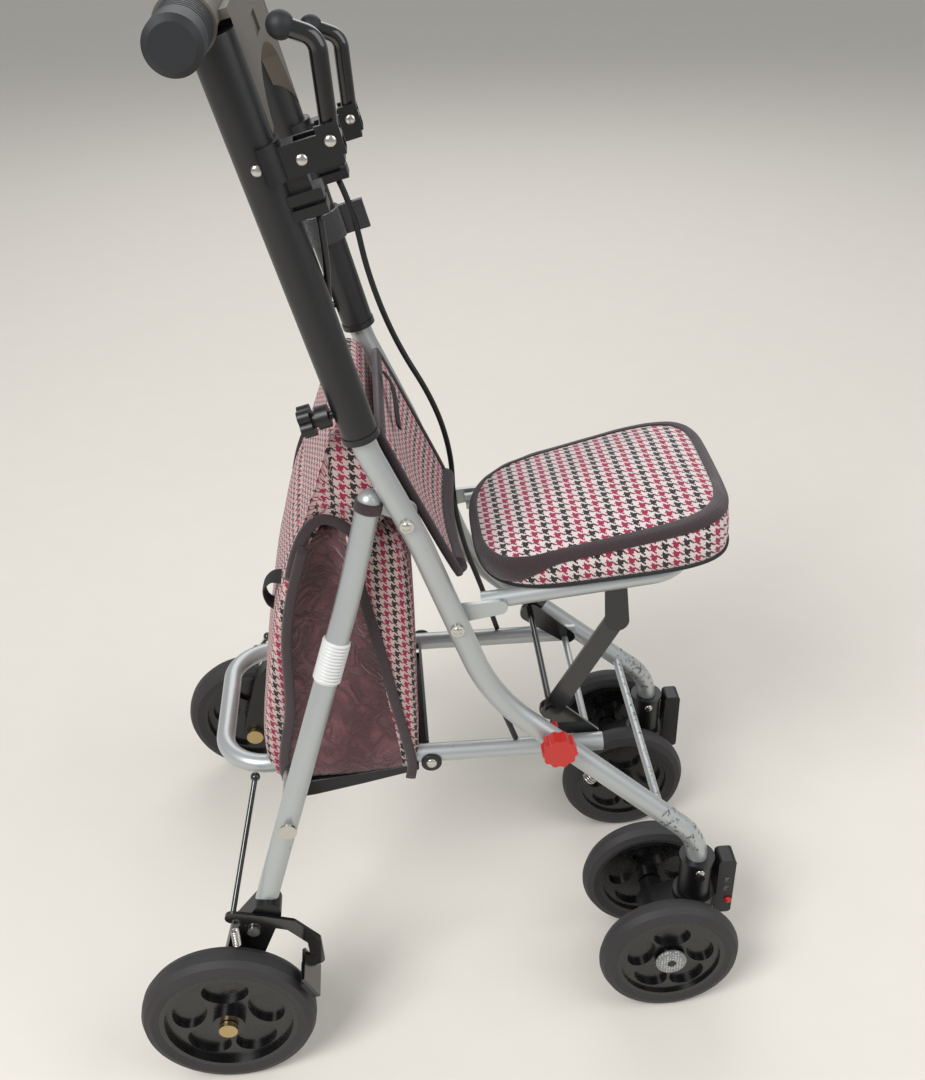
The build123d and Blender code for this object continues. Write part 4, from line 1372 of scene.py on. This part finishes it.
    def build(self, wardrobe: Wardrobe) -> None:
        """Adds the shell, the hood, the bindings, the base board and the pull loop.

        Args:
            wardrobe: where the finishes come from.
        """
        shell = self.shell()
        subdivided(shell)
        self.ride(shell, wardrobe, Look.PINK_FABRIC, Look.BROWN_NYLON)
        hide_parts("bag_body")
        hood = self.hood_piece()
        subdivided(hood)
        self.ride(hood, wardrobe, Look.PINK_FABRIC)
        for side, word in SIDES:
            out = Vector((0.0, side, 0.0))
            for name, index in (("rear", 2), ("front", 3)):
                line = self.seam(index, side)
                binding = tape(f"bag_{name}_binding_{word}", line, [out] * len(line),
                               self.binding_width, 3.0)
                self.ride(binding, wardrobe, Look.BROWN_BINDING)
            arch = smooth_line([place(x, side * (self.half - 2.0), z) for x, z in self.arch], 5)
            binding = tape(f"bag_arch_binding_{word}", arch, [out] * len(arch), self.binding_width, 3.4)
            self.ride(binding, wardrobe, Look.BROWN_BINDING)
        self.ride(self.base(), wardrobe, Look.BLACK_PLASTIC)
        loop_line = smooth_line([place(*spot) for spot in self.pull_loop], 6)
        loop = tape("bag_pull_loop", loop_line, [Vector((-1.0, 0.0, 0.4))] * len(loop_line), 12.0, 2.0)
        self.ride(loop, wardrobe, Look.BLACK_WEBBING)


# ------------------------------------------------------------------ small fittings
@dataclass
class Fittings:
    """Reflectors, hub nuts, buttons, springs, screw heads, lever balls, ears and leg trim.

    Its fields are millimetres, and y is the distance from the middle of the cart.
    """

    reflector_radius: float = 14.0
    wire_mm: float = 0.8
    clip_ribs: int = 12
    rib_pitch: float = 2.9
    ball_radius: float = 8.2
    ball_skin: float = 0.6
    dome: Profile = ((0.0, 1.5), (1.8, 1.35), (3.2, 0.8), (4.0, 0.0), (4.0, -0.8), (0.0, -0.8))
    hub_nut: Profile = ((0.0, -2.2), (2.4, -2.2), (2.8, -0.2), (5.4, -0.2), (6.8, -1.4), (6.8, -4.4),
                        (0.0, -4.4))
    button: Profile = ((0.0, 1.3), (2.2, 1.0), (3.3, 0.3), (3.3, -1.6), (0.0, -1.6))
    recess: Profile = ((0.0, 0.05), (2.3, 0.1), (2.9, 0.4), (3.4, 0.0), (3.4, -0.8), (0.0, -0.8))
    ear: Profile = ((0.0, 1.6), (8.4, 1.6), (9.0, 1.0), (9.0, -1.6), (0.0, -1.6))
    ear_rivet: Profile = ((0.0, 1.6), (2.6, 1.4), (4.4, 0.6), (4.8, 0.0), (4.8, -0.8), (0.0, -0.8))
    tube_bolt: Profile = ((0.0, 14.0), (1.6, 14.0), (2.6, 12.8), (2.6, -1.0), (0.0, -1.0))
    leg_knee: tuple[float, float, float] = (128.0, 110.5, 444.0)
    leg_end: tuple[float, float, float] = (34.8, 170.0, 160.6)
    leg_top: tuple[float, float, float] = (148.5, 98.8, 522.0)

    def disc(self, name: str, profile: Profile, centre: Vector, axis: Vector, body: str, look: Look,
             wardrobe: Wardrobe, steps: int = 40) -> None:
        """Adds one turned piece.

        Args:
            name: the piece's name.
            profile: its turned profile in millimetres.
            centre: where its axis starts.
            axis: its axis.
            body: the body it rides on.
            look: its finish.
            wardrobe: where the finish comes from.
            steps: steps of the full turn.
        """
        bm = bmesh.new()
        lathe(bm, profile, centre, axis, steps)
        piece = new_piece(name, bm)
        soft_edges(piece, 0.3, 2)
        wardrobe.fit(piece, body, look)

    def spring(self, name: str, centre: Vector, axis: Vector, radius: float, turns: float, pitch: float,
               body: str, wardrobe: Wardrobe) -> None:
        """Adds a coil spring.

        Args:
            name: the piece's name.
            centre: where its axis starts.
            axis: its axis.
            radius: the coil's radius in millimetres.
            turns: how many turns it has.
            pitch: millimetres from one turn to the next.
            body: the body it rides on.
            wardrobe: where the finish comes from.
        """
        bm = bmesh.new()
        axis = axis.normalized()
        side = axis.orthogonal().normalized()
        turned = Matrix((side, axis, side.cross(axis))).transposed().to_4x4()
        wire = bmesh.ops.create_circle(bm, segments=8, radius=self.wire_mm / 1000,
                                       matrix=Matrix.Translation(centre + side * (radius / 1000)) @ turned)
        steps = int(turns * 16)
        bmesh.ops.spin(bm, geom=wire["verts"] + list(bm.edges), cent=centre, axis=axis,
                       dvec=axis * (pitch / 16000), angle=2 * math.pi * turns, steps=steps)
        bmesh.ops.holes_fill(bm, edges=[edge for edge in bm.edges if edge.is_boundary])
        wardrobe.fit(new_piece(name, bm), body, Look.ZINC_STEEL)

    def screws(self, word: str, side: int, wardrobe: Wardrobe) -> None:
        """Adds the domed screw heads of one side.

        Args:
            word: the side's name.
            side: -1 for the right side, 1 for the left.
            wardrobe: where the finishes come from.
        """
        out = Vector((0.0, side, 0.0))
        pivot = joint_place("lever_" + word)
        lean = Vector((-0.25747, 0.0, 0.966286))
        back = Vector((-lean.z, 0.0, lean.x))
        heads = [("sleeve_screw", place(93.3, side * 117.6, 776.4), out, "handle"),
                 ("lever_screw", Vector((pivot.x, side * 0.1136, pivot.z)), out, "handle"),
                 ("clamp_screw", pivot + back * 0.021 + lean * -0.006 + out * 0.0094, out, "handle"),
                 ("lever_screw_inner", Vector((pivot.x, side * 0.0924, pivot.z)), -out, "handle"),
                 ("collar_bolt", place(426.0, side * 131.0, 127.0), out, "main_frame"),
                 ("collar_bolt_inner", place(426.0, side * 100.4, 127.0), -out, "main_frame"),
                 ("seat_rivet", place(211.3, side * 115.0, 407.5), out, "main_frame"),
                 ("leg_rivet", place(175.2, side * 115.0, 507.2), out, "main_frame")]
        for name, centre, axis, body in heads:
            self.disc(f"{name}_{word}", self.dome, centre, axis, body, Look.ZINC_STEEL, wardrobe, 24)

    def leg_trim(self, word: str, side: int, wardrobe: Wardrobe) -> None:
        """Adds the strap round the top of a leg, and the ribbed clip of the right one.

        Args:
            word: the side's name.
            side: -1 for the right side, 1 for the left.
            wardrobe: where the finishes come from.
        """
        knee = place(self.leg_knee[0], side * self.leg_knee[1], self.leg_knee[2])
        along = (place(self.leg_end[0], side * self.leg_end[1], self.leg_end[2]) - knee).normalized()
        if side < 0:
            profile = [(8.2, 0.0), (10.2, 0.0)]
            for rib in range(self.clip_ribs):
                start = 1.0 + rib * self.rib_pitch
                profile += [(11.4, start), (11.4, start + 1.5), (10.2, start + 1.9), (10.2, start + 2.6)]
            end = 1.6 + self.clip_ribs * self.rib_pitch
            profile += [(10.2, end), (8.2, end)]
            bm = bmesh.new()
            lathe(bm, profile + [(8.2, 0.0)], knee + along * 0.038, along, 32)
            wardrobe.fit(new_piece("leg_clip", bm), "rear_legs", Look.WHITE_PLASTIC)
        top = place(self.leg_top[0], side * self.leg_top[1], self.leg_top[2])
        down = (knee - top).normalized()
        first = down.orthogonal().normalized()
        second = down.cross(first)
        line, facing = [], []
        for step in range(24):
            angle = 2 * math.pi * step / 24
            radial = first * math.cos(angle) + second * math.sin(angle)
            line.append(top + down * 0.004 + radial * 0.0102)
            facing.append(radial)
        strap = tape("leg_strap_" + word, line, facing, 9.0, 1.6, closed=True)
        wardrobe.fit(strap, "rear_legs", Look.BROWN_BINDING)

    def wheels(self, word: str, side: int, wardrobe: Wardrobe) -> None:
        """Adds a side's reflector, hub nut, red button and the recesses above it.

        Args:
            word: the side's name.
            side: -1 for the right side, 1 for the left.
            wardrobe: where the finishes come from.
        """
        out = Vector((0.0, side, 0.0))
        low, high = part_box(f"caster_hub_{word}_outer")
        face = Vector(((low[0] + high[0]) / 2, high[1] if side > 0 else low[1], (low[2] + high[2]) / 2))
        rim = self.reflector_radius
        self.disc(f"reflector_{word}", [(0.0, 1.4), (9.0, 1.3), (rim - 1, 0.9), (rim, 0.2), (rim, -2.5),
                                        (0.0, -2.5)],
                  face, out, f"caster_wheel_{word}_outer", Look.REFLECTOR, wardrobe)
        low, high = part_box("rear_axle_" + word)
        tip = Vector(((low[0] + high[0]) / 2, high[1] if side > 0 else low[1], (low[2] + high[2]) / 2))
        self.disc(f"hub_nut_{word}", self.hub_nut, tip, out, "rear_legs", Look.BRASS_BOLT, wardrobe, 24)
        self.disc(f"lock_button_{word}", self.button, place(456.8, side * 126.6, 84.0), out,
                  "caster_" + word, Look.RED_PLASTIC, wardrobe, 24)
        for index, height in enumerate((99.0, 110.0)):
            self.disc(f"lock_recess_{word}_{index}", self.recess, place(454.0, side * 125.2, height),
                      out, "caster_" + word, Look.BLACK_GLOSS_STEEL, wardrobe, 24)

    def lever_ball(self, word: str, side: int, wardrobe: Wardrobe) -> None:
        """Adds the matte ball that is pushed on the end of a lever.

        Args:
            word: the side's name.
            side: -1 for the right side, 1 for the left.
            wardrobe: where the finishes come from.
        """
        low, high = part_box("brake_lever_" + word)
        reach = self.ball_radius / 1000
        middle = Vector((low[0] + reach, side * 0.103, high[2] - reach))
        bm = bmesh.new()
        bmesh.ops.create_uvsphere(bm, u_segments=32, v_segments=18, radius=reach + self.ball_skin / 1000,
                                  matrix=Matrix.Translation(middle))
        wardrobe.fit(new_piece("lever_ball_" + word, bm), "brake_lever_" + word, Look.GRIP_RUBBER)

    def build(self, wardrobe: Wardrobe) -> None:
        """Adds every small fitting.

        Args:
            wardrobe: where the finishes come from.
        """
        for side, word in SIDES:
            self.wheels(word, side, wardrobe)
            self.screws(word, side, wardrobe)
            self.leg_trim(word, side, wardrobe)
            self.lever_ball(word, side, wardrobe)
            self.spring("foot_spring_" + word, place(13.7, side * 188.0, 147.0), Vector((0.0, 0.0, 1.0)),
                        3.0, 9.0, 2.0, "rear_legs", wardrobe)
            out = Vector((0.0, side, 0.0))
            self.disc("base_ear_" + word, self.ear, place(187.0, side * 90.4, 248.0), out,
                      "lower_frame", Look.BLACK_PLASTIC, wardrobe)
            self.disc("base_rivet_" + word, self.ear_rivet, place(187.0, side * 92.0, 248.0), out,
                      "lower_frame", Look.ZINC_STEEL, wardrobe)
        down = Vector((-0.675, 0.0, -0.737))
        base = place(330.0, -103.0, 233.8)
        self.spring("tube_spring", base, down, 5.2, 4.5, 2.2, "main_frame", wardrobe)
        self.disc("tube_bolt", self.tube_bolt, base, down, "main_frame", Look.BLACK_PLASTIC, wardrobe, 20)


def main() -> None:
    """Builds the studio and every sub-assembly in order."""
    logging.basicConfig(level=logging.INFO, format="%(message)s")
    wardrobe = Wardrobe()
    Studio().build()
    BrakeCables().build(wardrobe)
    wardrobe.dress_frame()
    SeatPad().build(wardrobe)
    Backrest().build(wardrobe)
    Bag().build(wardrobe)
    Fittings().build(wardrobe)


if __name__ == "__main__":
    main()
